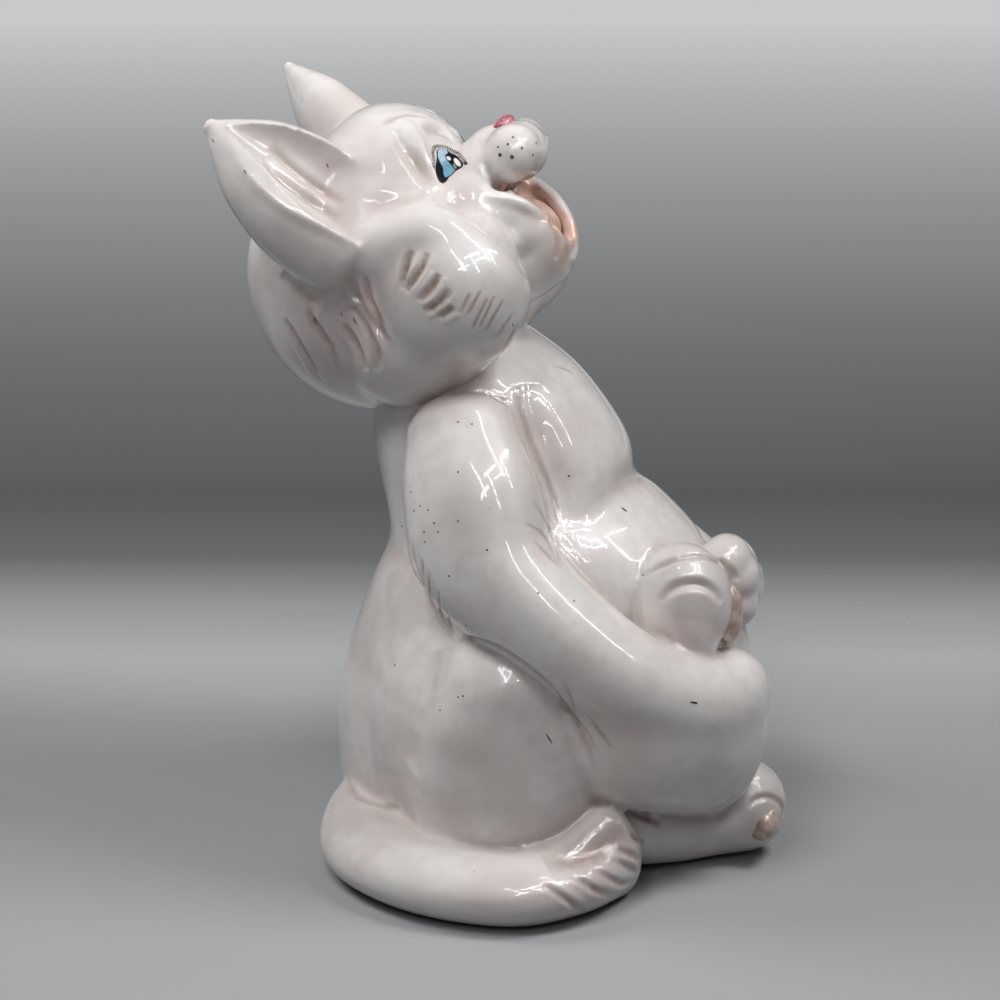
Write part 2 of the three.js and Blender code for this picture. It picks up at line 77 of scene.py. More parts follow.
shot = {
    "azimuth": 13.0, "elevation": 17.0, "distance": 900.0, "aimHeight": 115.0,
    "lens": 96.0, "sensor": 36.0, "picture": 1000,
}
turn, lift = math.radians(shot["azimuth"]), math.radians(shot["elevation"])
eyeBack = Vector((math.sin(turn) * math.cos(lift), -math.cos(turn) * math.cos(lift), math.sin(lift)))
eyeRight = Vector((math.cos(turn), math.sin(turn), 0))
eyeUp = eyeBack.cross(eyeRight)
eyePoint = figureZero + Vector((0, 0, shot["aimHeight"] * mm)) + eyeBack * shot["distance"] * mm

bpy.ops.object.select_all(action="DESELECT")
bpy.ops.object.camera_add()
camera = bpy.context.object
camera.matrix_world = Matrix.Translation(eyePoint) @ Matrix((eyeRight, eyeUp, eyeBack)).transposed().to_4x4()
camera.data.lens = shot["lens"]
camera.data.sensor_width = shot["sensor"]
camera.data.sensor_fit = "HORIZONTAL"
bpy.context.scene.camera = camera


def pixelWay(pixel):
    half = shot["picture"] / 2
    focal = shot["lens"] / shot["sensor"] * shot["picture"]
    way = eyeRight * ((pixel[0] - half) / focal) + eyeUp * ((half - pixel[1]) / focal) - eyeBack
    return way.normalized()


# Mesh helpers

def pickOnly(*objects):
    bpy.ops.object.select_all(action="DESELECT")
    for item in objects:
        item.select_set(True)
    bpy.context.view_layer.objects.active = objects[0]


def useModifier(item, kind, **settings):
    pickOnly(item)
    modifier = item.modifiers.new(kind, kind)
    for name, value in settings.items():
        setattr(modifier, name, value)
    bpy.ops.object.modifier_apply(modifier=modifier.name)


def joinAll(name, parts):
    pickOnly(*parts)
    bpy.ops.object.join()
    parts[0].name = name
    parts[0].data.name = name
    return parts[0]


def setPlace(item, points):
    item.data.vertices.foreach_set("co", np.asarray(points, np.float32).ravel())
    item.data.update()


def getPlace(item):
    points = np.empty(len(item.data.vertices) * 3, np.float32)
    item.data.vertices.foreach_get("co", points)
    return points.reshape(-1, 3).astype(float)


def getNormals(item):
    normals = np.empty(len(item.data.vertices) * 3, np.float32)
    item.data.vertex_normals.foreach_get("vector", normals)
    return normals.reshape(-1, 3).astype(float)


def spline(stations, count):
    rows = np.asarray(stations, float)
    last = len(rows) - 1
    out = []
    for k in range(count + 1):
        t = k / count * last
        i = min(int(t), last - 1)
        w = t - i
        a, b, c, d = (rows[min(max(i + j, 0), last)] for j in (-1, 0, 1, 2))
        out.append(0.5 * (2 * b + (c - a) * w + (2 * a - 5 * b + 4 * c - d) * w ** 2
                          + (3 * b - a - 3 * c + d) * w ** 3))
    return np.array(out)


# Clay forms, in millimetres of the figure: balls, rolled limbs and a stack of oval sections

head = {"back": -38.0, "high": 193.0, "tilt": 55.0}
tilt = math.radians(head["tilt"])
headTurn = np.array([[math.cos(tilt), 0, -math.sin(tilt)], [0, 1, 0], [math.sin(tilt), 0, math.cos(tilt)]])
headZero = np.array([head["back"], 0, head["high"]])


def fromHead(points):
    return np.asarray(points, float) @ headTurn.T + headZero


def toHead(points):
    return (np.asarray(points, float) - headZero) @ headTurn


def ball(at, radii, inHead=False, segments=64):
    bpy.ops.object.select_all(action="DESELECT")
    bpy.ops.mesh.primitive_uv_sphere_add(segments=segments, ring_count=segments // 2, radius=1)
    item = bpy.context.object
    points = getPlace(item) * np.array(radii) + np.array(at)
    setPlace(item, toFrame(fromHead(points) if inHead else points))
    return item


def twins(at, radii, inHead=False):
    return [ball((at[0], side * at[1], at[2]), radii, inHead) for side in (-1, 1)]


def meshOf(points, faces):
    mesh = bpy.data.meshes.new("form")
    mesh.from_pydata(np.asarray(points).tolist(), [], faces)
    item = bpy.data.objects.new("form", mesh)
    bpy.context.scene.collection.objects.link(item)
    pickOnly(item)
    bpy.ops.object.mode_set(mode="EDIT")
    bpy.ops.mesh.select_all(action="SELECT")
    bpy.ops.mesh.normals_make_consistent(inside=False)
    bpy.ops.object.mode_set(mode="OBJECT")
    return item


def loft(rings):
    sides = len(rings[0])
    faces = [tuple(range(sides))[::-1], tuple(range((len(rings) - 1) * sides, len(rings) * sides))]
    for i in range(len(rings) - 1):
        for k in range(sides):
            a, b = i * sides + k, i * sides + (k + 1) % sides
            faces.append((a, b, b + sides, a + sides))
    return meshOf(np.concatenate(rings), faces)


def limb(stations, across, inHead=False, sides=48, steps=60):
    rows = spline(stations, steps)
    ways = np.gradient(rows[:, :3], axis=0)
    ways /= np.linalg.norm(ways, axis=1, keepdims=True)
    angles = np.linspace(0, 2 * math.pi, sides, endpoint=False)
    rings = []
    domes = (0.12, 0.35, 0.65, 0.95, 1.25)  # angles of the rings that round off each end
    order = [(0, -math.cos(a), math.sin(a)) for a in domes]
    order += [(i, 0, 1) for i in range(steps + 1)]
    order += [(steps, math.cos(a), math.sin(a)) for a in domes[::-1]]
    for i, shift, share in order:
        one = np.array(across) - ways[i] * np.dot(across, ways[i])
        one /= np.linalg.norm(one)
        two = np.cross(ways[i], one)
        wide, deep = rows[i, 3:]
        middle = rows[i, :3] + ways[i] * min(wide, deep) * shift
        ring = middle + np.outer(np.cos(angles), one) * wide * share
        ring += np.outer(np.sin(angles), two) * deep * share
        rings.append(toFrame(fromHead(ring) if inHead else ring))
    return loft(rings)


def stack(levels, inset=0, sides=96, steps=90):
    angles = np.linspace(0, 2 * math.pi, sides, endpoint=False)
    rings = []
    for z, back, front, half in spline(levels, steps):
        ring = np.stack([(back + front) / 2 + ((front - back) / 2 - inset) * np.cos(angles),
                         (half - inset) * np.sin(angles), np.full(sides, z)], axis=1)
        rings.append(toFrame(ring))
    return loft(rings)


def cut(item, cutter):
    useModifier(item, "BOOLEAN", operation="DIFFERENCE", object=cutter, solver="EXACT")
    bpy.data.objects.remove(cutter)
    return item


# One glaze skin over several forms: they are fused in a fine grid, then softened as glaze softens clay

softening = 0.5  # share of the way to its neighbours that a point moves in a round


def skin(name, forms, grid, rounds):
    item = joinAll(name, forms)
    item.data.materials.clear()
    useModifier(item, "REMESH", mode="VOXEL", voxel_size=grid * mm, adaptivity=0, use_smooth_shade=True)
    useModifier(item, "SMOOTH", factor=softening, iterations=rounds)
    print(name + ":", len(item.data.vertices), "points after fusing")
    return item


def keepInBox(item):
    points = np.clip(getPlace(item), np.array(cadLow), np.array(cadHigh))
    setPlace(item, points)


def surfaceOf(item):
    mesh = item.data
    return BVHTree.FromPolygons([v.co for v in mesh.vertices], [tuple(p.vertices) for p in mesh.polygons])


def seen(surface, pixel):
    # the place on the surface that the camera sees at a pixel of the photograph
    place, normal, _, _ = surface.ray_cast(eyePoint, pixelWay(pixel))
    return place, normal


def twinOf(surface, place):
    # the matching place on the figure's other side
    spot, normal, _, _ = surface.find_nearest(Vector((place[0], 2 * figureZero.y - place[1], place[2])))
    return spot, normal


# Lines on a skin: how they are traced in millimetres, and how they fade in shares of their half width
line = {
    "pixelsPerMm": 2.96, "step": 0.4, "fewestSteps": 8,
    "reach": 3.2, "endFade": 0.7, "bankAt": 1.7, "bankWide": 0.8, "stainAndShadeWide": 1.15,
    "softReach": 2.0, "leastSoft": 0.02,
    "facingFrom": 0.1, "facingOver": 0.4,  # spares the surface that faces another way than the line
}


def traceLine(surface, pixels):
    length = np.sum(np.linalg.norm(np.diff(pixels, axis=0), axis=1)) / line["pixelsPerMm"]
    steps = max(line["fewestSteps"], int(length / line["step"]))
    hits = [seen(surface, pixel) for pixel in spline(pixels, steps)]
    hits = [hit for hit in hits if hit[0] is not None]
    return np.array([hit[0] for hit in hits]), np.array([hit[1] for hit in hits])


def linesOn(surface, marks):
    # marks on one side, mirrored to both (2), or carried across the middle to the other side (3)
    lines = []
    for kind, pixels, sides in marks:
        places, normals = traceLine(surface, pixels)
        if len(places) < 2:
            print("line missed:", kind, pixels[0])
            continue
        others = [twinOf(surface, place) for place in places] if sides > 1 else []
        far = np.array([o[0] for o in others]), np.array([o[1] for o in others])
        if sides == 3:
            places, normals = (np.concatenate([b[::-1], a]) for a, b in zip((places, normals), far))
        lines.append((kind, places, normals))
        if sides == 2:
            lines.append((kind, *far))
    return lines


def nearLine(points, normals, places, lineNormals, reach):
    # distance to the line, share along it and how far the surface faces the same way
    low, high = places.min(0) - reach, places.max(0) + reach
    picked = np.where(((points > low) & (points < high)).all(1))[0]
    if not len(picked):
        return picked, None, None, None
    gaps = np.linalg.norm(points[picked][:, None, :] - places[None], axis=2)
    nearest = gaps.argmin(1)
    distance = gaps[np.arange(len(picked)), nearest]
    facing = (normals[picked] * lineNormals[nearest]).sum(1)
    sameWay = np.clip((facing - line["facingFrom"]) / line["facingOver"], 0, 1)
    return picked, distance, nearest / max(1, len(places) - 1), sameWay


def refine(item, lines, reach):
    points, normals = getPlace(item), getNormals(item)
    near = np.zeros(len(points), bool)
    for kind, places, lineNormals in lines:
        if not tools[kind]["fine"]:
            continue
        picked, distance, _, _ = nearLine(points, normals, places, lineNormals, reach * mm)
        if len(picked):
            near[picked[distance < reach * mm]] = True
    mesh = item.data
    mesh.polygons.foreach_set("select", np.array([any(near[i] for i in p.vertices) for p in mesh.polygons]))
    pickOnly(item)
    bpy.ops.object.mode_set(mode="EDIT")
    bpy.ops.mesh.select_mode(type="FACE")
    bpy.ops.mesh.subdivide(number_cuts=1, smoothness=0, ngon=False)
    bpy.ops.object.mode_set(mode="OBJECT")


def carve(item, lines):
    points, normals = getPlace(item), getNormals(item)
    push = np.zeros(len(points))
    washAndShade = np.zeros(len(points))
    for kind, places, lineNormals in lines:
        tool = tools[kind]
        wide = tool["wide"] * mm
        picked, distance, along, facing = nearLine(points, normals, places, lineNormals, wide * line["reach"])
        if not len(picked):
            continue
        taper = np.clip(np.minimum(along, 1 - along) / tool["taper"], 0, 1) ** line["endFade"]
        groove = np.exp(-(distance / wide) ** 2)
        banks = np.exp(-((distance - line["bankAt"] * wide) / (line["bankWide"] * wide)) ** 2)
        push[picked] += tool["deep"] * mm * facing * taper * (groove - tool["bank"] * banks)
        # brown stain along the line, partly painted shade in the crease
        stainAndShade = tool["stainAndShade"] * taper * np.exp(-(distance / (line["stainAndShadeWide"] * wide)) ** 2)
        washAndShade[picked] = np.maximum(washAndShade[picked], stainAndShade)
    setPlace(item, points + normals * push[:, None])
    return washAndShade


def soften(item, lines, reach, rounds):
    points, normals = getPlace(item), getNormals(item)
    weight = np.zeros(len(points))
    for _, places, lineNormals in lines:
        searched = reach * mm * line["softReach"]
        picked, distance, _, _ = nearLine(points, normals, places, lineNormals, searched)
        if len(picked):
            weight[picked] = np.maximum(weight[picked], np.exp(-(distance / (reach * mm)) ** 2))
    group = item.vertex_groups.new(name="soften")
    for i in np.where(weight > line["leastSoft"])[0]:
        group.add([int(i)], float(weight[i]), "REPLACE")
    useModifier(item, "SMOOTH", factor=softening, iterations=rounds, vertex_group="soften")
    item.vertex_groups.clear()


def paint(item, name, values):
    attribute = item.data.attributes.new(name, "FLOAT", "POINT")
    attribute.data.foreach_set("value", np.asarray(values, np.float32))


def hollows(item, deepest, spreadRounds=8, evenRounds=3):
    # how far each point lies below its neighbours, used to darken the creases with painted shade
    mesh = item.data
    edges = np.empty(len(mesh.edges) * 2, np.int32)
    mesh.edges.foreach_get("vertices", edges)
    a, b = edges.reshape(-1, 2).T
    points, normals = getPlace(item), getNormals(item)
    count = np.bincount(a, minlength=len(points)) + np.bincount(b, minlength=len(points))

    def average(values):
        total = np.bincount(a, values[b], len(points)) + np.bincount(b, values[a], len(points))
        return total / np.maximum(count, 1)

    spread = points.copy()
    for _ in range(spreadRounds):
        spread = np.stack([average(spread[:, k]) for k in range(3)], axis=1)
    depth = ((spread - points) * normals).sum(1)
    for _ in range(evenRounds):
        depth = average(depth)
    return np.clip(depth / (deepest * mm), 0, 1)


def spots(item, surface, dabs):
    # soft round patches of tint: pixel, radius in millimetres, strength, on both sides where asked
    points = getPlace(item)
    tint = np.zeros(len(points))
    for pixel, radius, strength, sides in dabs:
        place, _ = seen(surface, pixel)
        if place is None:
            continue
        centres = [place] if sides == 1 else [place, twinOf(surface, place)[0]]
        for centre in centres:
            gap = np.linalg.norm(points - np.array(centre), axis=1) / (radius * mm)
            tint = np.maximum(tint, strength * np.exp(-gap ** 2))
    return tint


# Body forms

body = {
    "levels": [  # height, back, front, half width
        (0, -53, 46, 49), (22, -56, 57, 53), (52, -55, 66, 53), (84, -45, 72, 49), (104, -37, 69, 46),
        (124, -40, 50, 42), (142, -43, 41, 41), (160, -40, 27, 36), (172, -35, 11, 28), (181, -31, -3, 20),
    ],
    "wall": 6.0, "hollowTop": 176.0, "hollowBelow": -3.0,
    "upperArm": [  # ahead, out, up, radius across, radius along
        (-4, 36, 145, 17.1, 19), (1, 45, 130, 19.1, 22.5), (8, 51, 110, 19.6, 22), (26, 54, 94, 18.4, 18.2),
    ],
    "rightFore": [(50, -52, 76, 17.1, 16.5), (70, -42, 64, 16.2, 16.5), (81, -29, 60, 15, 16)],
    "rightPaw": [((80, -25, 48), (14.3, 14.3, 22)), ((83, -24, 62), (13.6, 14, 15))],
    "leftFore": [(50, 49, 78, 17.1, 19), (68, 34, 77, 15.2, 15.2), (77, 15, 87, 11.7, 11.7)],
    "leftPaw": [((77, 6, 92), (11, 13, 14)), ((77.5, -1, 100), (8.5, 9.5, 8.8)), ((81, 0, 94), (8, 9, 9)),
                ((81.5, 0.5, 85), (7, 8.5, 9))],
    "thigh": [((12.5, 46, 40), (34, 29, 41)), ((10, 45.5, 55), (31, 29, 27)), ((-5, 34, 45), (31, 25.5, 42)),
              ((12, 46, 66), (24, 27, 24))],
    "leftThighIn": 3.0,
    "lap": [(36, -47, 56, 15, 22), (58, -45, 53, 18, 26), (74, -34, 49, 17, 27), (81, -27, 48, 15, 27)],
    "rightLeg": [(32, -36, 18, 14, 14), (50, -32, 15, 13, 15), (65, -23, 13, 13, 13), (77, -16, 14, 13.5, 13),
                 (87, -11, 15, 14, 14)],
    "rightFoot": ((87, -11, 17.4), (14.2, 14, 15.4)),
    "leftLeg": [(34.1, 39, 52, 20.7, 20.7), (63, 25, 58, 19.8, 19.8), (62, 0, 69, 14, 14),
                (64, -15, 85, 14, 14)],
    "raisedFoot": [((67.2, -27, 93), (16.2, 15, 20)), ((64.5, -28, 82), (13.5, 14, 17)),
                   ((70.1, -30.5, 85.5), (10.2, 12.5, 15.5))],
    "tail": [(-34, -10.6, 11.2, 12, 13), (-40, -31.8, 10.5, 11.4, 13), (-30, -59, 10, 11, 16),
             (-7, -76, 10, 11, 16), (21, -79, 10, 11, 16), (38, -69, 11.6, 12.2, 15),
             (49, -56, 15.3, 16.6, 11)],
    "coarse": 1.9, "coarseRounds": 20, "grid": 1.08, "rounds": 10,
}


def bodyForms():
    masses = [stack(body["levels"])]
    for side in (-1, 1):
        for at, radii in body["thigh"]:
            out = at[1] - (body["leftThighIn"] if side > 0 else 0)
            masses.append(ball((at[0], side * out, at[2]), radii, segments=96))
    forms = [skin("softBody", masses, body["coarse"], body["coarseRounds"])]
    for side, name in ((-1, "right"), (1, "left")):
        upper = [(x, side * y, z, a, b) for x, y, z, a, b in body["upperArm"]]
        forms.append(limb(upper + body[name + "Fore"], (0, 1, 0)))
        forms += [ball(*one) for one in body[name + "Paw"]]
    forms += [limb(body[leg], (0, 0, 1)) for leg in ("rightLeg", "leftLeg", "tail")]
    forms += [ball(*one) for one in body["raisedFoot"] + [body["rightFoot"]]]
    forms.append(limb(body["lap"], (0, 1, 0)))
    return forms


def bodyHollow():
    # the open inside, a wall's thickness in from the torso
    levels = [(body["hollowBelow"], *body["levels"][0][1:])]
    levels += [row for row in body["levels"] if row[0] < body["hollowTop"]]
    return stack(levels, body["wall"], sides=64, steps=50)


def groundFlat(item):
    points = getPlace(item)
    points[:, 2] = np.maximum(points[:, 2], 0)
    setPlace(item, points)


bodySkin = skin("glazedBody", bodyForms(), body["grid"], body["rounds"])
groundFlat(bodySkin)
hollowForm = bodyHollow()
hollowSurface = surfaceOf(hollowForm)
cut(bodySkin, hollowForm)
print("glazedBody:", len(bodySkin.data.vertices), "points with the hollow")

# Head forms: soft masses fused first in a coarse grid, then the ears, muzzle and lips in a fine one

face = {
    "masses": [((0, 0, 0), (48, 45, 46.5)), ((24, 0, 14.5), (27, 31, 27)),
               ((33.1, 0, -28.8), (21, 20.5, 20))],
    # jowls, cheeks, sides of the mouth
    "pairs": [((6, 24, -21), (36, 26, 27)), ((18, 33.5, -23.5), (27, 22, 26)),
              ((38, 9, -12), (13.5, 17, 14))],
    "jowlRoll": [(13.8, 38, 2.5, 10.5, 10.5), (22, 39, -3.5, 11.5, 11.5), (29.5, 38, -10.2, 12, 12),
                 (31.5, 35, -21, 12.5, 12.5), (29.3, 29, -30.6, 11.5, 11.5), (25, 24, -35, 10, 10)],
    "coarse": 1.5, "coarseRounds": 16,
    "muzzle": [((58.5, 0, -12.6), (10.2, 10.4, 9.8)), ((50, 0, -6), (13, 11, 9)),
               ((46, 0, -7), (14, 17, 9.5))],
    "muzzlePair": ((58.5, 6.5, -12), (10, 10, 9)),
    "mouth": ((54, 1.5, -28.6), (15, 13.2, 18.6)), "mouthSlot": ((54, 0, -15.2), (13, 21, 3.8)),
    "lip": [(45.5, 20, -12.5), (46.2, 18.6, -15.5), (48, 16.8, -20), (49.5, 14.2, -25), (49.8, 11, -31),
            (48, 7.5, -38), (44.5, 4.2, -43.5), (41.5, 0, -46.5)],
    "nearLipBack": (0, 0, 0, 0.6, 1.8, 3.2, 3.4, 1.4),  # the near lip sags back towards the chin
    "lipRim": (0, 2.5), "lipBacking": (4.5, 4.2),  # how far behind the rim, radius
    "grid": 0.76, "rounds": 10,
}
ear = {
    "root": (13.0, 36.0, 23.25), "lean": (0.12, 0.28, 0.95), "across": (0.55, -0.8, 0.12),
    "wide": 23.0, "thick": 17.0, "rightLength": 46.5, "leftLength": 54.0,
    # share of the length, shares of the thickness out and width over, half width and depth
    "shell": [(-0.12, 0, 0, 1, 1), (0.25, 0, 0, 0.97, 0.92), (0.6, 0, 0, 0.74, 0.66),
              (0.84, 0, 0, 0.37, 0.34), (0.97, 0, 0, 0.13, 0.14)],
    "scoop": [(-0.3, 1.2, 0.16, 0.66, 0.7), (0, 0.92, 0.16, 0.7, 0.8), (0.24, 0.88, 0.15, 0.68, 0.78),
              (0.55, 0.64, 0.13, 0.47, 0.55), (0.86, 0.36, 0.05, 0.13, 0.17)],
}


def earForms(side, length):
    lean = np.array(ear["lean"]) * (1, side, 1)
    lean /= np.linalg.norm(lean)
    across = np.array(ear["across"]) * (1, side, 1)
    across /= np.linalg.norm(across)
    outward = np.cross(lean, across) * side
    outward /= np.linalg.norm(outward)
    root = np.array(ear["root"]) * (1, side, 1)
    wide, thick = ear["wide"], ear["thick"]
    made = []
    for name in ("shell", "scoop"):
        stations = []
        for share, out, over, a, b in ear[name]:
            at = root + lean * length * share + outward * thick * out + across * wide * over
            stations.append((*at, wide * a, thick * b))
        made.append(limb(stations, across, inHead=True))
    return made


def lipRoll(back, radius):
    rows = np.array(face["lip"])
    near = rows * (1, -1, 1)
    near[:, 0] -= face["nearLipBack"]
    path = np.concatenate([near, rows[-2::-1]])
    stations = [(ahead - back, out, up, radius, radius) for ahead, out, up in path]
    return limb(stations, (1, 0, 0), inHead=True, sides=24, steps=90)


def headForms():
    masses = [ball(*one, inHead=True, segments=96) for one in face["masses"]]
    for at, radii in face["pairs"]:
        masses += twins(at, radii, inHead=True)
    for side in (-1, 1):
        roll = [(ahead, side * out, up, a, b) for ahead, out, up, a, b in face["jowlRoll"]]
        masses.append(limb(roll, (0, 1, 0), inHead=True))
    masses.append(lipRoll(*face["lipBacking"]))
    soft = skin("softHead", masses, face["coarse"], face["coarseRounds"])
    for name in ("mouth", "mouthSlot"):
        cut(soft, ball(*face[name], inHead=True))
    forms = [soft]
    for side, length in ((-1, ear["rightLength"]), (1, ear["leftLength"])):
        forms.append(cut(*earForms(side, length)))
    forms += [ball(*one, inHead=True) for one in face["muzzle"]]
    forms += twins(*face["muzzlePair"], inHead=True)
    forms.append(lipRoll(*face["lipRim"]))
    return forms


headSkin = skin("glazedHead", headForms(), face["grid"], face["rounds"])

# Carving: each tool's half width and depth in millimetres, its banks, stain and painted shade, end taper and
# finer mesh

tools = {
    "fold": {"wide": 2.4, "deep": -2.0, "bank": 0.15, "stainAndShade": 0.2, "taper": 0.35, "fine": False},
    "valley": {"wide": 3.6, "deep": -1.4, "bank": 0.0, "stainAndShade": 0.05, "taper": 0.3, "fine": False},
    "recess": {"wide": 6.0, "deep": -2.6, "bank": 0.0, "stainAndShade": 0.06, "taper": 0.35, "fine": False},
    "trough": {"wide": 6.5, "deep": -3.4, "bank": 0.0, "stainAndShade": 0.05, "taper": 0.3, "fine": False},
    "ridge": {"wide": 1.9, "deep": 0.7, "bank": 0.1, "stainAndShade": 0.0, "taper": 0.3, "fine": False},
    "crease": {"wide": 1.15, "deep": -0.85, "bank": 0.2, "stainAndShade": 0.4, "taper": 0.2, "fine": True},
    "pit": {"wide": 5.5, "deep": -3.4, "bank": 0.0, "stainAndShade": 0.5, "taper": 0.3, "fine": False},
    "furrow": {"wide": 1.6, "deep": -0.9, "bank": 0.1, "stainAndShade": 0.2, "taper": 0.25, "fine": False},
    "groove": {"wide": 1.6, "deep": -1.5, "bank": 0.2, "stainAndShade": 0.2, "taper": 0.3, "fine": True},
    "tuft": {"wide": 1.2, "deep": -0.75, "bank": 0.25, "stainAndShade": 0.6, "taper": 0.35, "fine": True},
    # colour alone, no carving: painted shade along a line
    "smear": {"wide": 3.2, "deep": 0.0, "bank": 0.0, "stainAndShade": 0.34, "taper": 0.35, "fine": False},
    "stripe": {"wide": 1.25, "deep": -1.0, "bank": 0.4, "stainAndShade": 0.8, "taper": 0.35, "fine": True},
    "strand": {"wide": 1.4, "deep": -0.95, "bank": 0.45, "stainAndShade": 0.58, "taper": 0.3, "fine": True},
    "hair": {"wide": 0.6, "deep": -0.45, "bank": 0.3, "stainAndShade": 0.6, "taper": 0.4, "fine": True},
}

# Marks: the tool, a line in pixels of the photograph, one side or both (2), or across the middle (3)

headMarks = [
    ("crease", [(382, 124), (395, 117), (408, 114), (428, 117)], 2),
    ("fold", [(394, 129), (406, 149), (417, 165), (432, 187)], 2),
    ("ridge", [(408, 122), (421, 142), (428, 164), (439, 189)], 2),
    ("valley", [(360, 208), (380, 203), (402, 201), (428, 199)], 2),
    ("trough", [(447, 200), (472, 211), (496, 225), (517, 244), (531, 268), (536, 290)], 2),
    ("fold", [(424, 129), (438, 129), (452, 136)], 2),
    ("crease", [(545, 211), (554, 226), (558, 243), (557, 260)], 1),
    # painted shade where the head meets the neck and under the ear
    ("smear", [(446, 390), (470, 383), (488, 372), (502, 356), (512, 338)], 2),
    ("smear", [(345, 268), (352, 290), (362, 312)], 2),
    ("stripe", [(412, 250), (405, 272), (402, 290)], 2),
    ("stripe", [(428, 253), (421, 269), (410, 285), (407, 293)], 2),
    ("stripe", [(439, 274), (432, 287), (419, 302)], 2),
    ("stripe", [(450, 289), (439, 304), (423, 311)], 2),
    ("strand", [(454, 307), (439, 318)], 2),
    ("hair", [(470, 293), (461, 314)], 2),
    ("hair", [(481, 291), (468, 316)], 2),
    ("hair", [(488, 298), (472, 331)], 2),
    ("hair", [(495, 296), (479, 329)], 2),
    ("hair", [(504, 300), (484, 334)], 2),
    ("hair", [(514, 313), (494, 340)], 2),
    ("hair", [(519, 322), (501, 353)], 2),
    ("strand", [(352, 276), (357, 294), (368, 314), (381, 334), (387, 344)], 2),
    ("strand", [(365, 276), (369, 298), (378, 318), (386, 340)], 2),
    ("strand", [(341, 309), (357, 311), (370, 334), (378, 356), (376, 371)], 2),
    ("strand", [(285, 319), (295, 336), (307, 357), (319, 379)], 2),
    ("strand", [(309, 307), (314, 321), (320, 331), (330, 348), (340, 379)], 2),
    ("strand", [(342, 324), (357, 345), (366, 371)], 2),
    ("ridge", [(228, 140), (249, 174), (273, 198), (297, 214), (333, 231), (366, 248)], 2),
    ("furrow", [(264, 165), (285, 183), (309, 201), (338, 220)], 2),
    ("ridge", [(266, 157), (288, 177), (312, 195), (340, 213)], 2),
    ("furrow", [(270, 148), (292, 169), (316, 187), (342, 205)], 2),
    ("fold", [(282, 272), (297, 290), (310, 302), (321, 305)], 2),
]
# lines along which two forms of the head flow into each other
headBlend = [
    ("blend", [(470, 150), (480, 160), (492, 172)], 2),
    ("blend", [(452, 196), (466, 184), (480, 174)], 2),
    ("blend", [(474, 190), (480, 180), (490, 182)], 2),
    ("blend", [(300, 285), (335, 292), (365, 275), (378, 250)], 2),
    ("blend", [(345, 170), (350, 195), (358, 215)], 2),
    ("blend", [(468, 140), (478, 140)], 2),
    ("blend", [(518, 121), (531, 134), (538, 152)], 2),
]

bodyMarks = [
    ("crease", [(407, 421), (420, 406), (433, 398), (449, 392), (467, 391), (484, 393), (498, 399),
                (508, 404)], 2),
    ("crease", [(519, 395), (527, 426), (540, 460), (553, 494), (561, 526)], 2),
    ("hair", [(533, 501), (544, 519), (556, 548), (562, 570)], 2),
    ("hair", [(524, 523), (542, 534), (551, 548), (560, 568)], 2),
    ("hair", [(533, 541), (547, 554), (559, 567)], 2),
    ("hair", [(406, 526), (408, 548), (413, 570), (424, 588), (440, 621), (456, 646)], 1),
    ("hair", [(413, 541), (416, 563), (427, 590)], 2),
    ("hair", [(422, 559), (424, 577)], 2),
    ("hair", [(430, 572), (431, 597), (444, 626)], 1),
    ("hair", [(439, 590), (441, 612), (451, 634)], 1),
    ("hair", [(447, 608), (453, 637)], 1),
    ("recess", [(640, 477), (622, 491), (604, 506), (586, 522), (568, 532)], 3),
    ("recess", [(524, 385), (537, 420), (550, 458), (562, 496), (572, 530)], 2),
    ("recess", [(441, 650), (427, 685), (417, 725), (412, 770)], 1),
    ("crease", [(456, 642), (467, 638), (484, 641), (507, 652), (547, 683), (572, 716), (588, 748),
                (597, 776)], 1),
    ("crease", [(346, 780), (356, 795), (375, 804), (400, 810)], 1),
    # the tuft's hollow under the thigh: carved, and darkened with painted shade
    ("pit", [(545, 862), (575, 856), (602, 846), (628, 834)], 1),
    ("groove", [(661, 603), (667, 594), (676, 587), (688, 584), (703, 585), (714, 592), (722, 603)], 1),
    ("crease", [(748, 808), (756, 800), (768, 797), (779, 802), (783, 811), (778, 826), (768, 838)], 1),
    ("hair", [(565, 682), (576, 716)], 1),
    ("hair", [(586, 713), (601, 733), (614, 751)], 1),
    ("hair", [(554, 698), (583, 727), (599, 756)], 1),
    ("crease", [(641, 577), (662, 566), (679, 559), (698, 556), (717, 561), (731, 572), (737, 581)], 1),
    ("tuft", [(543, 884), (561, 896), (577, 907), (588, 913)], 1),
    ("tuft", [(570, 873), (583, 882), (597, 891), (612, 896)], 1),
    ("tuft", [(594, 869), (606, 876), (621, 884), (630, 882)], 1),
    ("tuft", [(614, 860), (628, 867), (639, 873)], 1),
    ("tuft", [(621, 849), (641, 860)], 1),
    ("tuft", [(630, 833), (643, 844)], 1),
    ("strand", [(630, 809), (652, 822)], 1),
    ("strand", [(640, 812), (661, 824)], 1),
    # painted shadow of the head on the shoulder, and painted shade in the tuft's hollow
    ("smear", [(428, 403), (448, 394), (470, 392), (492, 397)], 2),
    ("smear", [(556, 858), (585, 850), (612, 838), (634, 826)], 1),
    ("hair", [(552, 364), (575, 373)], 1),
]
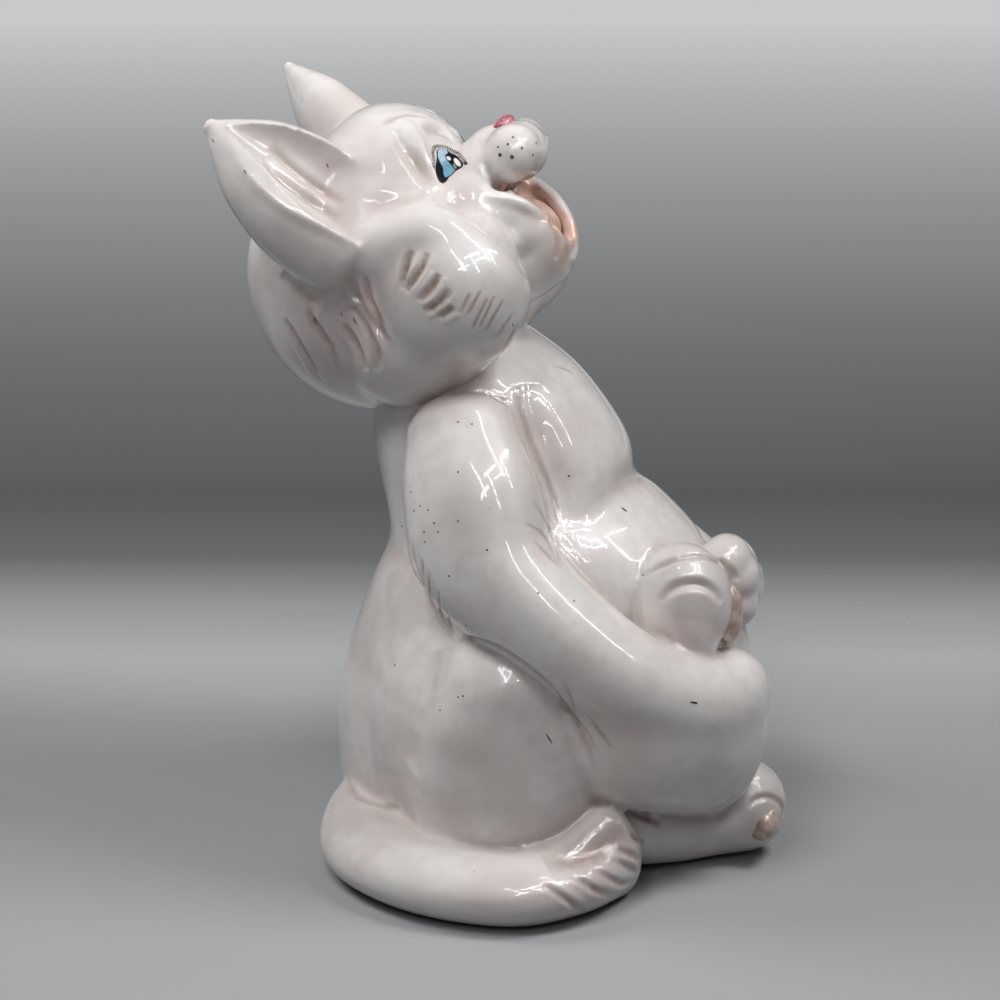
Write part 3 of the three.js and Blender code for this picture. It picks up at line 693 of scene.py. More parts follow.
# the same on the body
bodyBlend = [
    ("blend", [(610, 720), (650, 735), (700, 745), (745, 755)], 1),
    ("blend", [(610, 690), (650, 700), (700, 710), (755, 720)], 1),
    ("blend", [(620, 760), (660, 765), (700, 770), (735, 775)], 1),
    ("blend", [(428, 665), (418, 690), (414, 715)], 2),
    ("blend", [(392, 620), (382, 660), (378, 695)], 2),
    ("blend", [(410, 818), (420, 830), (432, 838)], 1),
]
carving = {
    "fineReach": 2.0, "evenOut": 0.4, "mostTriangles": 188000, "leastEdge": 1e-6, "deepestHollow": 0.5,
    "headSoftening": (6.0, 40), "bodySoftening": (10.0, 120),  # reach in millimetres, rounds
}


def mendSurface(item):
    # takes out faces lying back to back, and closes the small holes that thinning out can leave
    mesh = bmesh.new()
    mesh.from_mesh(item.data)
    bmesh.ops.dissolve_degenerate(mesh, dist=carving["leastEdge"], edges=mesh.edges[:])
    crowded = [edge for edge in mesh.edges if len(edge.link_faces) > 2]
    worn = {facet for edge in crowded for corner in edge.verts for facet in corner.link_faces}
    bmesh.ops.delete(mesh, geom=list(worn), context="FACES")
    rims = [edge for edge in mesh.edges if edge.is_boundary]
    patches = bmesh.ops.holes_fill(mesh, edges=rims, sides=0)["faces"]
    bmesh.ops.triangulate(mesh, faces=[facet for facet in mesh.faces if len(facet.verts) > 3])
    loosePairs = []
    for facet in mesh.faces:
        if len({near for edge in facet.edges for near in edge.link_faces}) == 2:
            loosePairs.append(facet)
    bmesh.ops.delete(mesh, geom=loosePairs, context="FACES")
    mesh.to_mesh(item.data)
    openEdges = sum(len(edge.link_faces) != 2 for edge in mesh.edges)
    mesh.free()
    print(item.name + ":", len(worn) + len(loosePairs), "faces taken out,", len(patches), "holes closed")
    print(item.name + ":", openEdges, "open edges left")


def countTriangles(item):
    return sum(len(polygon.vertices) - 2 for polygon in item.data.polygons)


def finishSkin(item, marks, blends, blendReach, blendRounds):
    soften(item, linesOn(surfaceOf(item), blends), blendReach, blendRounds)
    lines = linesOn(surfaceOf(item), marks)
    refine(item, lines, carving["fineReach"])
    washAndShade = carve(item, lines)
    useModifier(item, "SMOOTH", factor=carving["evenOut"], iterations=1)
    paint(item, "washAndShade", washAndShade)
    triangles = countTriangles(item)
    useModifier(item, "DECIMATE", ratio=min(1, carving["mostTriangles"] / triangles))
    mendSurface(item)
    groundFlat(item)
    keepInBox(item)
    pickOnly(item)
    bpy.ops.object.shade_smooth()
    # painted shade: creases darken by how deep each point lies below its neighbours
    paint(item, "creaseShade", hollows(item, carving["deepestHollow"]))
    print(item.name + ":", triangles, "triangles after carving,", countTriangles(item), "kept")


finishSkin(headSkin, headMarks, headBlend, *carving["headSoftening"])
finishSkin(bodySkin, bodyMarks, bodyBlend, *carving["bodySoftening"])

# Tints laid on the skins, partly pink glaze tint and partly painted shade in hollows, under the ears, at the
# neck and in the tail's tuft: pixel, radius in millimetres, strength, sides

headTintsAndShade = [
    ((385, 203), 9, 0.55, 2), ((330, 185), 16, 0.45, 2), ((310, 145), 12, 0.4, 2), ((345, 200), 10, 0.5, 2),
    ((470, 210), 9, 0.35, 2), ((350, 320), 18, 0.5, 2), ((552, 232), 6, 0.6, 2), ((300, 250), 16, 0.35, 2),
    ((536, 214), 6, 0.5, 2), ((556, 254), 7, 0.6, 2), ((480, 370), 11, 0.5, 2), ((320, 305), 12, 0.45, 2),
]
# the pink of the mouth brushed on past the lip, down the chin
lipTints = [
    ((559, 222), 3.6, 0.9, 1), ((565, 236), 3.8, 0.9, 1), ((567, 249), 3.6, 0.85, 1),
    ((563, 262), 3.2, 0.6, 1),
]
bodyTintsAndShade = [
    ((690, 630), 9, 0.7, 1), ((480, 740), 12, 0.35, 1), ((440, 800), 12, 0.35, 1), ((380, 840), 14, 0.35, 1),
    ((600, 890), 12, 0.4, 1), ((550, 450), 14, 0.35, 2), ((620, 760), 14, 0.3, 1), ((380, 720), 14, 0.25, 1),
    ((590, 846), 9, 0.7, 1), ((615, 836), 8, 0.7, 1), ((470, 394), 9, 0.5, 2), ((520, 770), 14, 0.35, 1),
]

# where paint ends: the mouth's by shares of its radii, the lips' and the bare clay's in millimetres
borders = {
    "mouth": 1.2, "mouthFade": 0.12, "front": 51.0, "frontFade": 2.0,
    "rim": 1.4, "rimFade": 0.8, "inside": 1.2, "insideFade": 0.6,
}

headSurface, bodySurface = surfaceOf(headSkin), surfaceOf(bodySkin)
# pink tint mixed with painted shade
paint(headSkin, "tintAndShade", spots(headSkin, headSurface, headTintsAndShade))
paint(bodySkin, "tintAndShade", spots(bodySkin, bodySurface, bodyTintsAndShade))


def lining():
    # the inside of the mouth, up to the edge of the cut
    mouthAt, mouthRadii = face["mouth"]
    places = toHead(toFigure(getPlace(headSkin)))
    gap = np.linalg.norm((places - mouthAt) / mouthRadii, axis=1)
    behindLips = np.clip((borders["front"] - places[:, 0]) / borders["frontFade"], 0, 1)
    return np.clip((borders["mouth"] - gap) / borders["mouthFade"], 0, 1) * behindLips


def bareClay():
    # unglazed clay: the inside and the rim that stood on the kiln shelf
    points = getPlace(bodySkin)
    near = np.array([hollowSurface.find_nearest(Vector(p))[3] for p in points])
    rim = np.clip((borders["rim"] - points[:, 2] / mm) / borders["rimFade"], 0, 1)
    return np.maximum(np.clip((borders["inside"] - near / mm) / borders["insideFade"], 0, 1), rim)


paint(headSkin, "lining", np.maximum(lining(), spots(headSkin, headSurface, lipTints)))
paint(headSkin, "bare", np.zeros(len(headSkin.data.vertices)))
paint(bodySkin, "lining", np.zeros(len(bodySkin.data.vertices)))
paint(bodySkin, "bare", bareClay())
print("skins: tints, mouth lining and bare clay laid on")

# Eyes: thin painted shells draped on the head, with a painted reflection on the iris and white glints painted
# in as highlights; the brush shapes are in pixels of the photograph

eye = {
    "outline": [(437, 149.5), (441, 148.4), (446, 149.8), (450, 152.6), (454, 154.6), (458, 157.2),
                (461, 160.4), (463.4, 164.6), (461, 168), (456, 171), (452.5, 174.6), (449, 177.4),
                (446.6, 181), (443, 183.6), (439, 181), (436.5, 175), (435.4, 169), (436, 163), (436.8, 157),
                (436.4, 152)],
    "iris": [(437.4, 150), (441, 148.6), (446, 150), (447.6, 153), (445, 155.2), (445.6, 159), (447.6, 161.6),
             (450, 164.2), (453, 168), (455, 170.6), (452, 174.4), (448, 176.9), (445, 177.6), (443.5, 174.4),
             (443, 168.5), (439.6, 162), (438, 158)],
    # painted reflection: the pale upper part of the iris
    "paleReflection": [(437.2, 150), (441, 148.4), (446, 150), (448, 153), (445, 155.2), (446.4, 160.6), (440.6, 162.2),
             (438, 157.4)],
    "olive": [(453.6, 163.8), (456.2, 166.6), (457, 168.6), (455.4, 169.4), (453.4, 167.2), (452.6, 165)],
    # painted highlights
    "glints": [((448.4, 158.6), (2.5, 1.6), 40), ((457.4, 162.7), (5.0, 2.4), 50)],
    "middle": (446.5, 165.5), "rings": 30, "spokes": 90, "lift": 0.16, "sink": 0.5,
}


def insideBy(points, polygon):
    # pixels in from the polygon's edge, negative outside
    corners = np.asarray(polygon, float)
    edge = np.roll(corners, -1, axis=0) - corners
    gap = points[:, None, :] - corners[None]
    share = np.clip((gap * edge).sum(2) / (edge ** 2).sum(1), 0, 1)
    away = np.linalg.norm(gap - share[..., None] * edge, axis=2).min(1)
    above = corners[:, 1] > points[:, 1:2]
    never = 1e-9  # keeps a level edge from dividing by nothing
    crossing = edge[:, 0] * (points[:, 1:2] - corners[:, 1]) / (edge[:, 1] + never) + corners[:, 0]
    inside = ((above != np.roll(above, -1, axis=1)) & (points[:, 0:1] < crossing)).sum(1) % 2 == 1
    return np.where(inside, away, -away)


def insideOval(points, middle, radii, degrees):
    a = math.radians(degrees)
    turned = (points - middle) @ np.array([[math.cos(a), -math.sin(a)], [math.sin(a), math.cos(a)]])
    return (1 - np.linalg.norm(turned / radii, axis=1)) * min(radii)


def paintedEyes(surface):
    count, rings = eye["spokes"], eye["rings"]
    outline = spline(eye["outline"] + eye["outline"][:1], count)[:-1]
    middle = np.array(eye["middle"])
    loops = [middle + (outline - middle) * (k / rings) for k in range(1, rings + 1)]
    pixels = np.concatenate(loops + [[middle]])
    nearSheet = [seen(surface, pixel) for pixel in pixels]
    sheets = [nearSheet, [twinOf(surface, place) for place, _ in nearSheet]]
    total = len(pixels)
    points, faces = [], []
    for sheet in sheets:
        places, normals = (np.array([spot[k] for spot in sheet]) for k in (0, 1))
        for height in (eye["lift"], -eye["sink"]):
            start = sum(len(p) for p in points)
            points.append(places + normals * height * mm)
            for k in range(count):
                j = (k + 1) % count
                faces.append((start + total - 1, start + k, start + j))
                for r in range(rings - 1):
                    a, b = start + r * count + k, start + r * count + j
                    faces.append((a, a + count, b + count, b))
        top, low = start - total + (rings - 1) * count, start + (rings - 1) * count
        faces += [(top + k, top + (k + 1) % count, low + (k + 1) % count, low + k) for k in range(count)]
    item = meshOf(np.concatenate(points), faces)
    item.name = "paintedEyes"
    shapes = {name: insideBy(pixels, eye[name]) for name in ("iris", "paleReflection", "olive")}
    shapes["glint"] = np.max([insideOval(pixels, *one) for one in eye["glints"]], axis=0)
    for name, inside in shapes.items():
        paint(item, name, np.tile(inside, len(points)))
    pickOnly(item)
    bpy.ops.object.shade_smooth()
    return item


eyes = paintedEyes(headSurface)
print("eyes: draped on the head")

# Brush dabs, dots and pinholes: low domes set in the glaze

dots = {
    "whiskers": [((500, 155), 1.3), ((512, 157), 1.4), ((508, 144), 0.8), ((513, 137), 0.7),
                 ((522, 148), 0.8), ((533, 155), 0.7), ((536, 143), 0.6), ((498, 147), 0.7)],
    "lashRoots": [(434.6, 168), (434.8, 160), (434.2, 153), (436, 148.6), (440, 147.4), (446, 148.8),
                  (451, 151.8), (456, 154.6), (460, 158), (463, 162.5), (465, 165)],
    "lashTips": [(432.6, 166), (432.2, 158), (431.2, 151.5), (433, 145.8), (438.6, 144.6), (445.6, 145.6),
                 (452, 148.4), (457.6, 151.4), (462.4, 155.2), (466, 160), (467.6, 163.6)],
    "lashCount": 36, "lashWide": 0.36,
    "pinholes": [(411, 492), (420, 506), (414, 511), (428, 510), (434, 523), (424, 532), (438, 532),
                 (425, 542), (458, 472), (458, 521), (449, 576), (538, 593), (574, 601), (466, 626),
                 (395, 665), (472, 424), (458, 422), (569, 476), (643, 575), (487, 550), (402, 526),
                 (463, 696), (458, 697), (440, 710)],
    "pinholeWide": 0.62,
    # where a flaw starts and ends, and its width in millimetres
    "bodyFlaws": [((622, 508), (626, 511), 0.9), ((546, 734), (552, 743), 0.5),
                  ((691, 702), (697, 703), 0.7)],
    "headFlaws": [((513, 324), (513, 326), 0.45), ((327, 164), (328, 167), 0.6),
                  ((212, 139), (214, 142), 0.4), ((244, 170), (246, 174), 0.45),
                  ((314, 317), (316, 325), 0.45), ((341, 313), (342, 316), 0.45),
                  ((353, 317), (356, 323), 0.45)],
    "high": 0.22, "segments": 14, "rings": 8, "roundTurn": (0.3, 0.2, 0.9),
}


def dab(at, normal, along, long, wide):
    normal = np.array(normal)
    along = np.array(along) - normal * np.dot(along, normal)
    along /= np.linalg.norm(along)
    over = np.cross(normal, along)
    bpy.ops.object.select_all(action="DESELECT")
    bpy.ops.mesh.primitive_uv_sphere_add(segments=dots["segments"], ring_count=dots["rings"], radius=0.5)
    item = bpy.context.object
    points = getPlace(item) * (long * mm, wide * mm, 2 * dots["high"] * mm)
    setPlace(item, points @ np.array([along, over, normal]) + np.array(at))
    return item


def dotsOn(name, surface, rounds, strokes, both):
    made = []
    for pixel, wide in rounds:
        place, normal = seen(surface, pixel)
        sites = [(place, normal)] + ([twinOf(surface, place)] if both else [])
        made += [dab(at, way, dots["roundTurn"], wide, wide) for at, way in sites]
    for start, end, wide in strokes:
        ends = [seen(surface, pixel) for pixel in (start, end)]
        pairs = [ends] + ([[twinOf(surface, place) for place, _ in ends]] if both else [])
        for (a, way), (b, _) in pairs:
            middle = (np.array(a) + np.array(b)) / 2
            made.append(dab(middle, way, np.array(b) - np.array(a), (b - a).length / mm + wide, wide))
    item = joinAll(name, made)
    pickOnly(item)
    bpy.ops.object.shade_smooth()
    return item


whiskers = dotsOn("whiskerDots", headSurface, dots["whiskers"], [], True)
roots, tips = (spline(dots[name], dots["lashCount"]) for name in ("lashRoots", "lashTips"))
lashStrokes = [(a, b, dots["lashWide"]) for a, b in zip(roots, tips)]
lashes = dotsOn("brushedLashes", headSurface, [], lashStrokes, True)
pinholes = [(pixel, dots["pinholeWide"]) for pixel in dots["pinholes"]]
holes = dotsOn("glazePinholes", bodySurface, pinholes, dots["bodyFlaws"], False)
headHoles = dotsOn("headPinholes", headSurface, [], dots["headFlaws"], False)
print("dots: whiskers, lashes and pinholes set")

# Small coloured pieces: nose button, tongue and sole pads

buttons = {
    "nose": {"balls": [((62.3, -0.6, -4.5), (4.6, 4.0, 2.8)), ((61, 0.8, -4.2), (3.4, 2.8, 2.4)),
                       ((61, -2, -4.2), (3.4, 2.8, 2.4))], "inHead": True},
    "tongue": {"balls": [((43.4, 3, -30.5), (5.6, 5.4, 9)), ((43.4, -3, -30.5), (5.6, 5.4, 9))],
               "inHead": True},
    "right_sole_pad": {"balls": [((95.4, -19.4, 14.4), (4.4, 5.2, 5)), ((96.4, -18, 17.6), (3.2, 3.6, 2.8)),
                                 ((94.2, -21.4, 12), (3.4, 3.4, 2.8))], "inHead": False},
    "left_sole_pad": {"balls": [((81.7, -22.7, 88.5), (4.6, 5, 10.4)), ((82, -22.5, 92), (4.1, 4.6, 6)),
                                ((81.7, -22.9, 85), (4.2, 4.6, 6))], "inHead": False},
    "grid": 0.35, "rounds": 8, "segments": 32,
}
buttonNames = {"nose": "noseButton", "tongue": "tongue", "right_sole_pad": "rightSolePad",
               "left_sole_pad": "leftSolePad"}
buttonPieces = {}
for node, name in buttonNames.items():
    button = buttons[node]
    forms = [ball(at, radii, button["inHead"], buttons["segments"]) for at, radii in button["balls"]]
    buttonPieces[node] = skin(name + "Piece", forms, buttons["grid"], buttons["rounds"])


# Finishes

def linear(code):
    parts = [int(code[i:i + 2], 16) / 255 for i in (1, 3, 5)]
    return (*[c / 12.92 if c <= 0.04045 else ((c + 0.055) / 1.055) ** 2.4 for c in parts], 1)


def addNode(tree, kind, links=None, **settings):
    node = tree.nodes.new(kind)
    for name, value in settings.items():
        setattr(node, name, value)
    for socket, value in (links or {}).items():
        if isinstance(value, bpy.types.NodeSocket):
            tree.links.new(value, node.inputs[socket])
        else:
            node.inputs[socket].default_value = value
    return node


def perMm(size):
    return 1 / (size * mm)


def newFinish(name):
    material = bpy.data.materials.new(name)
    material.use_nodes = True
    tree = material.node_tree
    place = addNode(tree, "ShaderNodeTexCoord").outputs["Object"]
    return material, tree, tree.nodes["Principled BSDF"], place


def cloudy(tree, place, size, detail, shows, strength=(0, 1)):
    # a patchy mask: patches of a size in millimetres, where the noise lies in the range that shows
    noise = addNode(tree, "ShaderNodeTexNoise", {"Vector": place, "Scale": perMm(size), "Detail": detail})
    span = {"From Min": shows[0], "From Max": shows[1], "To Min": strength[0], "To Max": strength[1]}
    return addNode(tree, "ShaderNodeMapRange", {"Value": noise.outputs["Fac"], **span}).outputs["Result"]


def speckled(tree, place, cell, edge, chosen):
    # a mask of round specks, one to a cell of a size in millimetres, in the cells that are chosen
    cells = addNode(tree, "ShaderNodeTexVoronoi", {"Vector": place, "Scale": perMm(cell)})
    draw = addNode(tree, "ShaderNodeSeparateColor", {"Color": cells.outputs["Color"]}).outputs["Red"]
    masks = {}
    for i, value, (low, high) in ((0, cells.outputs["Distance"], edge), (1, draw, chosen)):
        span = {"Value": value, "From Min": low, "From Max": high}
        masks[i] = addNode(tree, "ShaderNodeMapRange", span).outputs["Result"]
    return addNode(tree, "ShaderNodeMath", masks, operation="MULTIPLY").outputs["Value"]


def brushed(tree, name, strength=1.0):
    # a mask that was laid on the piece's points
    laid = addNode(tree, "ShaderNodeAttribute", attribute_name=name).outputs["Fac"]
    return addNode(tree, "ShaderNodeMath", {0: laid, 1: strength}, operation="MULTIPLY").outputs["Value"]


def layCoats(tree, ground, coats):
    # coats of colour over a ground, each as strong as its mask
    colour = linear(ground)
    for mask, tone in coats:
        over = linear(tone) if isinstance(tone, str) else tone
        coat = addNode(tree, "ShaderNodeMix", {"Factor": mask, "A": colour, "B": over}, data_type="RGBA")
        colour = coat.outputs["Result"]
    return colour


# a pooled glaze never lies quite flat: slow waves and a fine orange peel, strength and height in millimetres
clearCoat = {"waves": (0.3, 0.5), "peel": (0.12, 0.2), "weight": 0.8, "roughness": 0.05}


def gloss(tree, shader, place, waveSize, peelSize):
    lies = {}
    for size, (strength, high) in ((waveSize, clearCoat["waves"]), (peelSize, clearCoat["peel"])):
        noise = addNode(tree, "ShaderNodeTexNoise", {"Vector": place, "Scale": perMm(size)})
        bump = {"Height": noise.outputs["Fac"], "Strength": strength, "Distance": high * mm, **lies}
        lies = {"Normal": addNode(tree, "ShaderNodeBump", bump).outputs["Normal"]}
    for socket in ("Normal", "Coat Normal"):
        tree.links.new(lies["Normal"], shader.inputs[socket])
    shader.inputs["Coat Weight"].default_value = clearCoat["weight"]
    shader.inputs["Coat Roughness"].default_value = clearCoat["roughness"]


# Tin-white glaze on red clay: bright gloss, mauve where it ran thin, brown stain and painted shade in the
# grooves, painted shade in the creases, bare clay below
white = {
    "ground": "#ece8e5", "ior": 1.5, "roughness": 0.3, "clayRoughness": 0.9, "waves": 14, "peel": 2.5,
    # colour, size of the patches in millimetres, detail, range of the noise that shows, strength
    "thin": ("#dad1cd", 30, 3, (0.42, 0.68)),
    "mottle": ("#d8cdca", 5, 4, (0.45, 0.75), (0, 0.5)),
    # colour and strength of what was laid on the points: pink tint mixed with painted shade, and painted
    # shade in the creases
    "tintAndShade": ("#c4b0ae", 0.9), "creaseShade": ("#b5a29c", 0.5),
    # brown stain in the grooves, partly painted shade
    "washAndShade": "#9b7264", "washAndShadeBreaks": (2.2, 3, (0.3, 0.65), (0.45, 1)),
    "speck": "#6d5a52", "speckStrength": 0.6, "specks": (6.5, (0.05, 0.028), (0.78, 0.8)),
    # two tones, then their patches
    "throat": ("#e6cabc", "#cda794", 6, 3, (0.35, 0.65)),
    "clay": ("#a5623f", "#86492f", 3, 5, (0.35, 0.65)),
}


def whiteGlaze():
    material, tree, shader, place = newFinish("tinWhiteGlaze")
    bare = brushed(tree, "bare")
    coats = [(cloudy(tree, place, *white[name][1:]), white[name][0]) for name in ("thin", "mottle")]
    coats += [(brushed(tree, name, white[name][1]), white[name][0]) for name in ("tintAndShade", "creaseShade")]
    coats.append((brushed(tree, "washAndShade", cloudy(tree, place, *white["washAndShadeBreaks"])), white["washAndShade"]))
    faint = {0: speckled(tree, place, *white["specks"]), 1: white["speckStrength"]}
    specks = addNode(tree, "ShaderNodeMath", faint, operation="MULTIPLY").outputs["Value"]
    coats.append((specks, white["speck"]))
    for mask, name in ((brushed(tree, "lining"), "throat"), (bare, "clay")):
        first, second, *patches = white[name]
        coats.append((mask, layCoats(tree, first, [(cloudy(tree, place, *patches), second)])))
    tree.links.new(layCoats(tree, white["ground"], coats), shader.inputs["Base Color"])
    shader.inputs["IOR"].default_value = white["ior"]
    gloss(tree, shader, place, white["waves"], white["peel"])
    # the bare clay is rough and has no coat
    roughness = ("Roughness", white["roughness"], white["clayRoughness"])
    for socket, glazed, unglazed in (roughness, ("Coat Weight", clearCoat["weight"], 0)):
        span = {"Value": bare, "To Min": glazed, "To Max": unglazed}
        tree.links.new(addNode(tree, "ShaderNodeMapRange", span).outputs["Result"], shader.inputs[socket])
    return material


# Brush-painted eye under clear glaze: black ground, blue iris, a pale painted reflection on the iris and
# white glints painted in as highlights
eyeInk = {
    # the pale tones are a painted reflection and the glint a painted highlight
    "black": "#0c0b10", "blue": ("#6797b0", "#86b0c6"), "paleReflection": ("#9fc0d6", "#c6dae6"),
    "olive": "#8a9284", "glint": "#efeaec", "brushMarks": (1.4, 3, (0.3, 0.7)),
    "softness": {"iris": 0.5, "paleReflection": 0.9, "olive": 0.5, "glint": 0.4},  # of each shape's edge, in pixels
    "roughness": 0.3, "waves": 6, "peel": 1.5,
}


def eyeGlaze():
    material, tree, shader, place = newFinish("paintedEyeGlaze")
    brushMarks = cloudy(tree, place, *eyeInk["brushMarks"])
    tones = (eyeInk["blue"], eyeInk["paleReflection"])
    blue, paleReflection = (layCoats(tree, first, [(brushMarks, second)]) for first, second in tones)
    within = {}
    for name, soft in eyeInk["softness"].items():
        span = {"Value": brushed(tree, name), "From Min": -soft, "From Max": soft}
        within[name] = addNode(tree, "ShaderNodeMapRange", span).outputs["Result"]
    both = {0: within["paleReflection"], 1: within["iris"]}
    reflectionOnIris = addNode(tree, "ShaderNodeMath", both, operation="MULTIPLY").outputs["Value"]
    coats = [(within["iris"], blue), (reflectionOnIris, paleReflection)]
    coats += [(within[name], eyeInk[name]) for name in ("olive", "glint")]
    tree.links.new(layCoats(tree, eyeInk["black"], coats), shader.inputs["Base Color"])
    shader.inputs["Roughness"].default_value = eyeInk["roughness"]
    gloss(tree, shader, place, eyeInk["waves"], eyeInk["peel"])
    return material


# Coloured underglaze below clear glaze: a broken, hand-rubbed tone, with dark specks on the nose
rubbed = {
    "detail": 4, "shows": (0.38, 0.62), "specks": (1.7, (0.3, 0.2), (-1, 0)),
    "roughness": 0.32, "waves": 4, "peel": 1.2,
}


def rubbedColour(name, first, second, size, speck=None):
    material, tree, shader, place = newFinish(name)
    coats = [(cloudy(tree, place, size, rubbed["detail"], rubbed["shows"]), second)]
    if speck:
        coats.append((speckled(tree, place, *rubbed["specks"]), speck))
    tree.links.new(layCoats(tree, first, coats), shader.inputs["Base Color"])
    shader.inputs["Roughness"].default_value = rubbed["roughness"]
    gloss(tree, shader, place, rubbed["waves"], rubbed["peel"])
    return material


glaze = whiteGlaze()
# two tones, and the size of their patches in millimetres
finishes = {
    "pink": rubbedColour("pinkPadGlaze", "#d8c3b8", "#ba9b8b", 3.0),
    "mouth": rubbedColour("tongueGlaze", "#e4c6b8", "#cda894", 4.0),
    "red": rubbedColour("redNoseGlaze", "#d59ba1", "#b25f69", 2.0, "#7a3740"),
    "ink": rubbedColour("greyBrushInk", "#5b5451", "#3c3634", 1.0),
    "soot": rubbedColour("pinholeBrown", "#4a3c35", "#2c221e", 0.8),
    "rust": rubbedColour("smudgeBrown", "#7d675c", "#5c4a41", 0.8),
}
wears = {
    headSkin: glaze, bodySkin: glaze, eyes: eyeGlaze(), whiskers: finishes["ink"], lashes: finishes["ink"],
    holes: finishes["soot"], headHoles: finishes["rust"],
    buttonPieces["nose"]: finishes["red"], buttonPieces["tongue"]: finishes["mouth"],
    buttonPieces["right_sole_pad"]: finishes["pink"], buttonPieces["left_sole_pad"]: finishes["pink"],
}
for item, finish in wears.items():
    item.data.materials.clear()
    item.data.materials.append(finish)
print("finishes: on", len(wears), "pieces")

# Stage and light

stage = {
    "size": 14.0, "nearest": -0.5, "farthest": 1.5, "bounce": "#7c7e80", "roughness": 0.7,
    # painted light and shade on the paper: how pale it looks, by the distance in metres behind the figure
    "paintedPaperLight": [(-0.5, "#b4b6b8"), (0.02, "#a2a4a6"), (0.1, "#a2a4a6"), (0.17, "#b4b6b8"), (0.23, "#a3a5a7"),
              (0.3, "#757779"), (0.38, "#6a6c6e"), (0.7, "#58595b")],
    # a painted glow on the far paper, which is no lamp: from where to where in metres, how bright, how soon
    # it rises
    "far": 0.4, "back": 2.3, "bright": 0.58, "rise": 0.85, "glow": "#fbfdff",
    "room": "#b4b6b8", "roomStrength": 0.1,
}


# Matt grey paper with painted light and shade: a soft band behind the figure, rising to a pale, glowing far
# end
def greyPaperPaintedLight():
    material, tree, shader, place = newFinish("greyPaperPaintedLight")
    inward = (-math.sin(turn), math.cos(turn), 0)
    depth = addNode(tree, "ShaderNodeVectorMath", {0: place, 1: inward}, operation="DOT_PRODUCT")
    behind = depth.outputs["Value"]
    span = {"Value": behind, "From Min": stage["nearest"], "From Max": stage["farthest"]}
    share = addNode(tree, "ShaderNodeMapRange", span).outputs["Result"]
    ramp = addNode(tree, "ShaderNodeValToRGB", {"Fac": share})
    stops = ramp.color_ramp.elements
    for i, (distance, tone) in enumerate(stage["paintedPaperLight"]):
        at = (distance - stage["nearest"]) / (stage["farthest"] - stage["nearest"])
        stop = stops[i] if i < 2 else stops.new(at)
        stop.position = at
        stop.color = linear(tone)
    # the paper is paler to the camera and in reflections than it is as a source of bounced light
    rays = addNode(tree, "ShaderNodeLightPath").outputs
    kinds = {0: rays["Is Camera Ray"], 1: rays["Is Glossy Ray"]}
    looked = addNode(tree, "ShaderNodeMath", kinds, operation="MAXIMUM").outputs["Value"]
    shown = layCoats(tree, stage["bounce"], [(looked, ramp.outputs["Color"])])
    tree.links.new(shown, shader.inputs["Base Color"])
    shader.inputs["Roughness"].default_value = stage["roughness"]
    span = {"Value": behind, "From Min": stage["far"], "From Max": stage["back"]}
    glow = addNode(tree, "ShaderNodeMapRange", span).outputs["Result"]
    for step, amount in (("POWER", stage["rise"]), ("MULTIPLY", stage["bright"]), ("MULTIPLY", looked)):
        glow = addNode(tree, "ShaderNodeMath", {0: glow, 1: amount}, operation=step).outputs["Value"]
    shader.inputs["Emission Color"].default_value = linear(stage["glow"])
    tree.links.new(glow, shader.inputs["Emission Strength"])
    return material


bpy.ops.object.select_all(action="DESELECT")
bpy.ops.mesh.primitive_plane_add(size=stage["size"], location=(0, 0, 0))
floor = bpy.context.object
floor.name = "studioFloor"
floor.data.materials.append(greyPaperPaintedLight())

world = bpy.data.worlds.new("softRoom")
world.use_nodes = True
world.node_tree.nodes["Background"].inputs["Color"].default_value = linear(stage["room"])
world.node_tree.nodes["Background"].inputs["Strength"].default_value = stage["roomStrength"]
bpy.context.scene.world = world

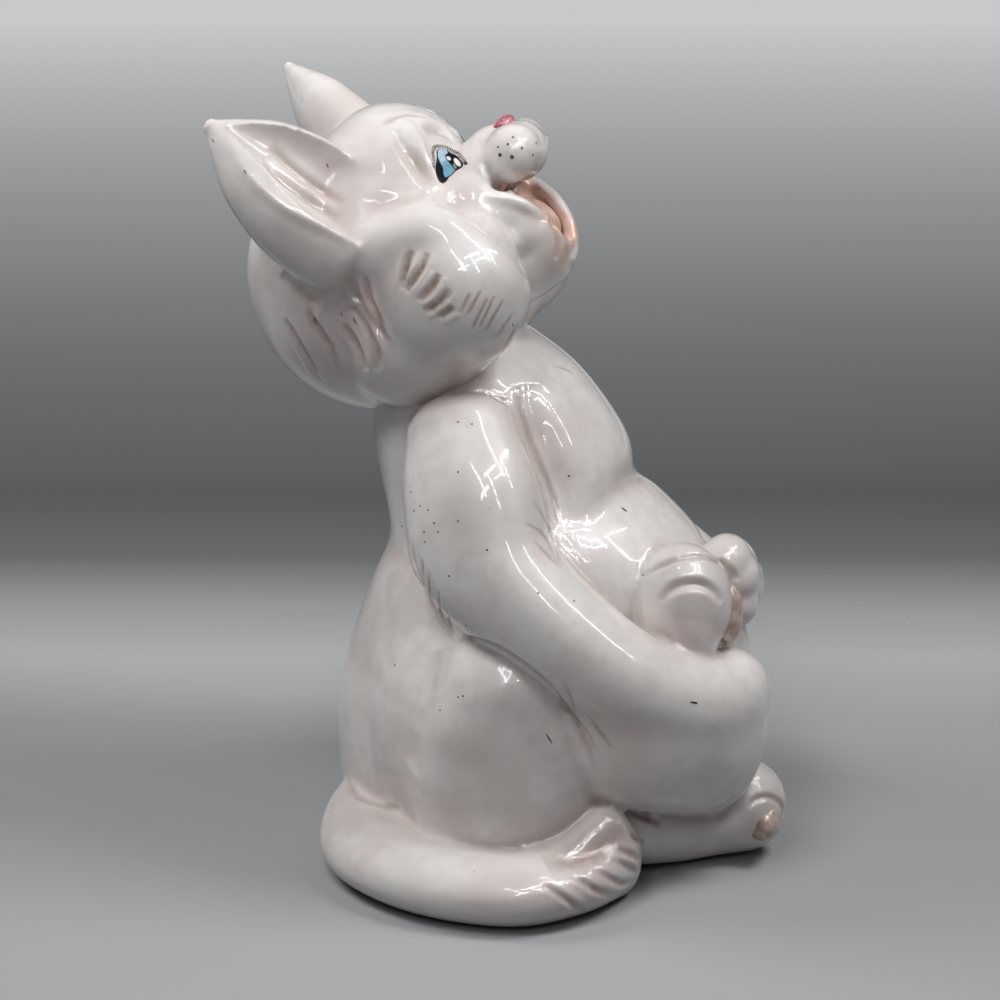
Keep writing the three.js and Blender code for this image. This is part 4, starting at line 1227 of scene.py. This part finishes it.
# soft panels light the clay; only the two frames of thin tubes show in the glaze
panels = {
    "aim": (0, 0, 0.1), "size": 0.3,
    "places": {  # place in metres and power
        "rightPanel": ((0.45, 0.05, 0.8), 4.0), "overPanel": ((-0.15, -0.42, 0.95), 3.2),
        "leftPanel": ((-0.6, 0, 0.7), 2.8), "frontPanel": ((0.05, -0.7, 0.65), 0.7),
    },
}
tubes = {
    "centres": [(0.42, -0.12, 0.62), (0.24, -0.48, 0.6)], "facesFrom": (0.4, -0.2, 0.5),
    "span": 0.26, "depth": 0.34, "thick": 0.022, "power": 0.5,
}


def lamp(name, at, aim, wide, deep, power):
    bpy.ops.object.light_add(type="AREA", location=at)
    light = bpy.context.object
    light.name = name
    light.data.shape = "RECTANGLE"
    light.data.size = wide
    light.data.size_y = deep
    light.data.energy = power
    light.rotation_mode = "QUATERNION"
    light.rotation_quaternion = (Vector(at) - Vector(aim)).to_track_quat("Z", "Y")
    return light


for name, (at, power) in panels["places"].items():
    lamp(name, at, panels["aim"], panels["size"], panels["size"], power).visible_glossy = False
for middle in tubes["centres"]:
    for sign in (-1, 1):
        for wide, deep in ((tubes["span"], tubes["thick"]), (tubes["thick"], tubes["depth"])):
            shift = (0, sign * tubes["depth"] / 2, 0) if wide > deep else (sign * tubes["span"] / 2, 0, 0)
            at = Vector(middle) + Vector(shift)
            aim = at - Vector(tubes["facesFrom"])
            lamp("tube", at, aim, wide, deep, tubes["power"]).visible_diffuse = False
bpy.context.scene.view_settings.view_transform = "Standard"
print("stage: paper,", len(panels["places"]), "panels and", len(tubes["centres"]), "frames of tubes")

# Riding on the root, with the nodes that each piece stands for hidden

standsFor = {
    bodySkin: ("torso", "right_thigh", "left_thigh", "right_arm", "left_arm", "right_leg", "left_leg",
               "tail"),
    headSkin: ("skull", "right_cheek", "left_cheek", "lower_jaw", "muzzle", "right_ear", "left_ear"),
}
standsFor.update({piece: (node,) for node, piece in buttonPieces.items()})
slots = {item: "glaze" for item in (bodySkin, headSkin, eyes, whiskers, lashes, holes, headHoles)}
slots.update({piece: "red" if node == "nose" else "pink" for node, piece in buttonPieces.items()})
for item, nodes in standsFor.items():
    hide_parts(*nodes)
for item, name in slots.items():
    keepInBox(item)
    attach(item, "root")
print("pieces:", len(slots), "riding on the root")
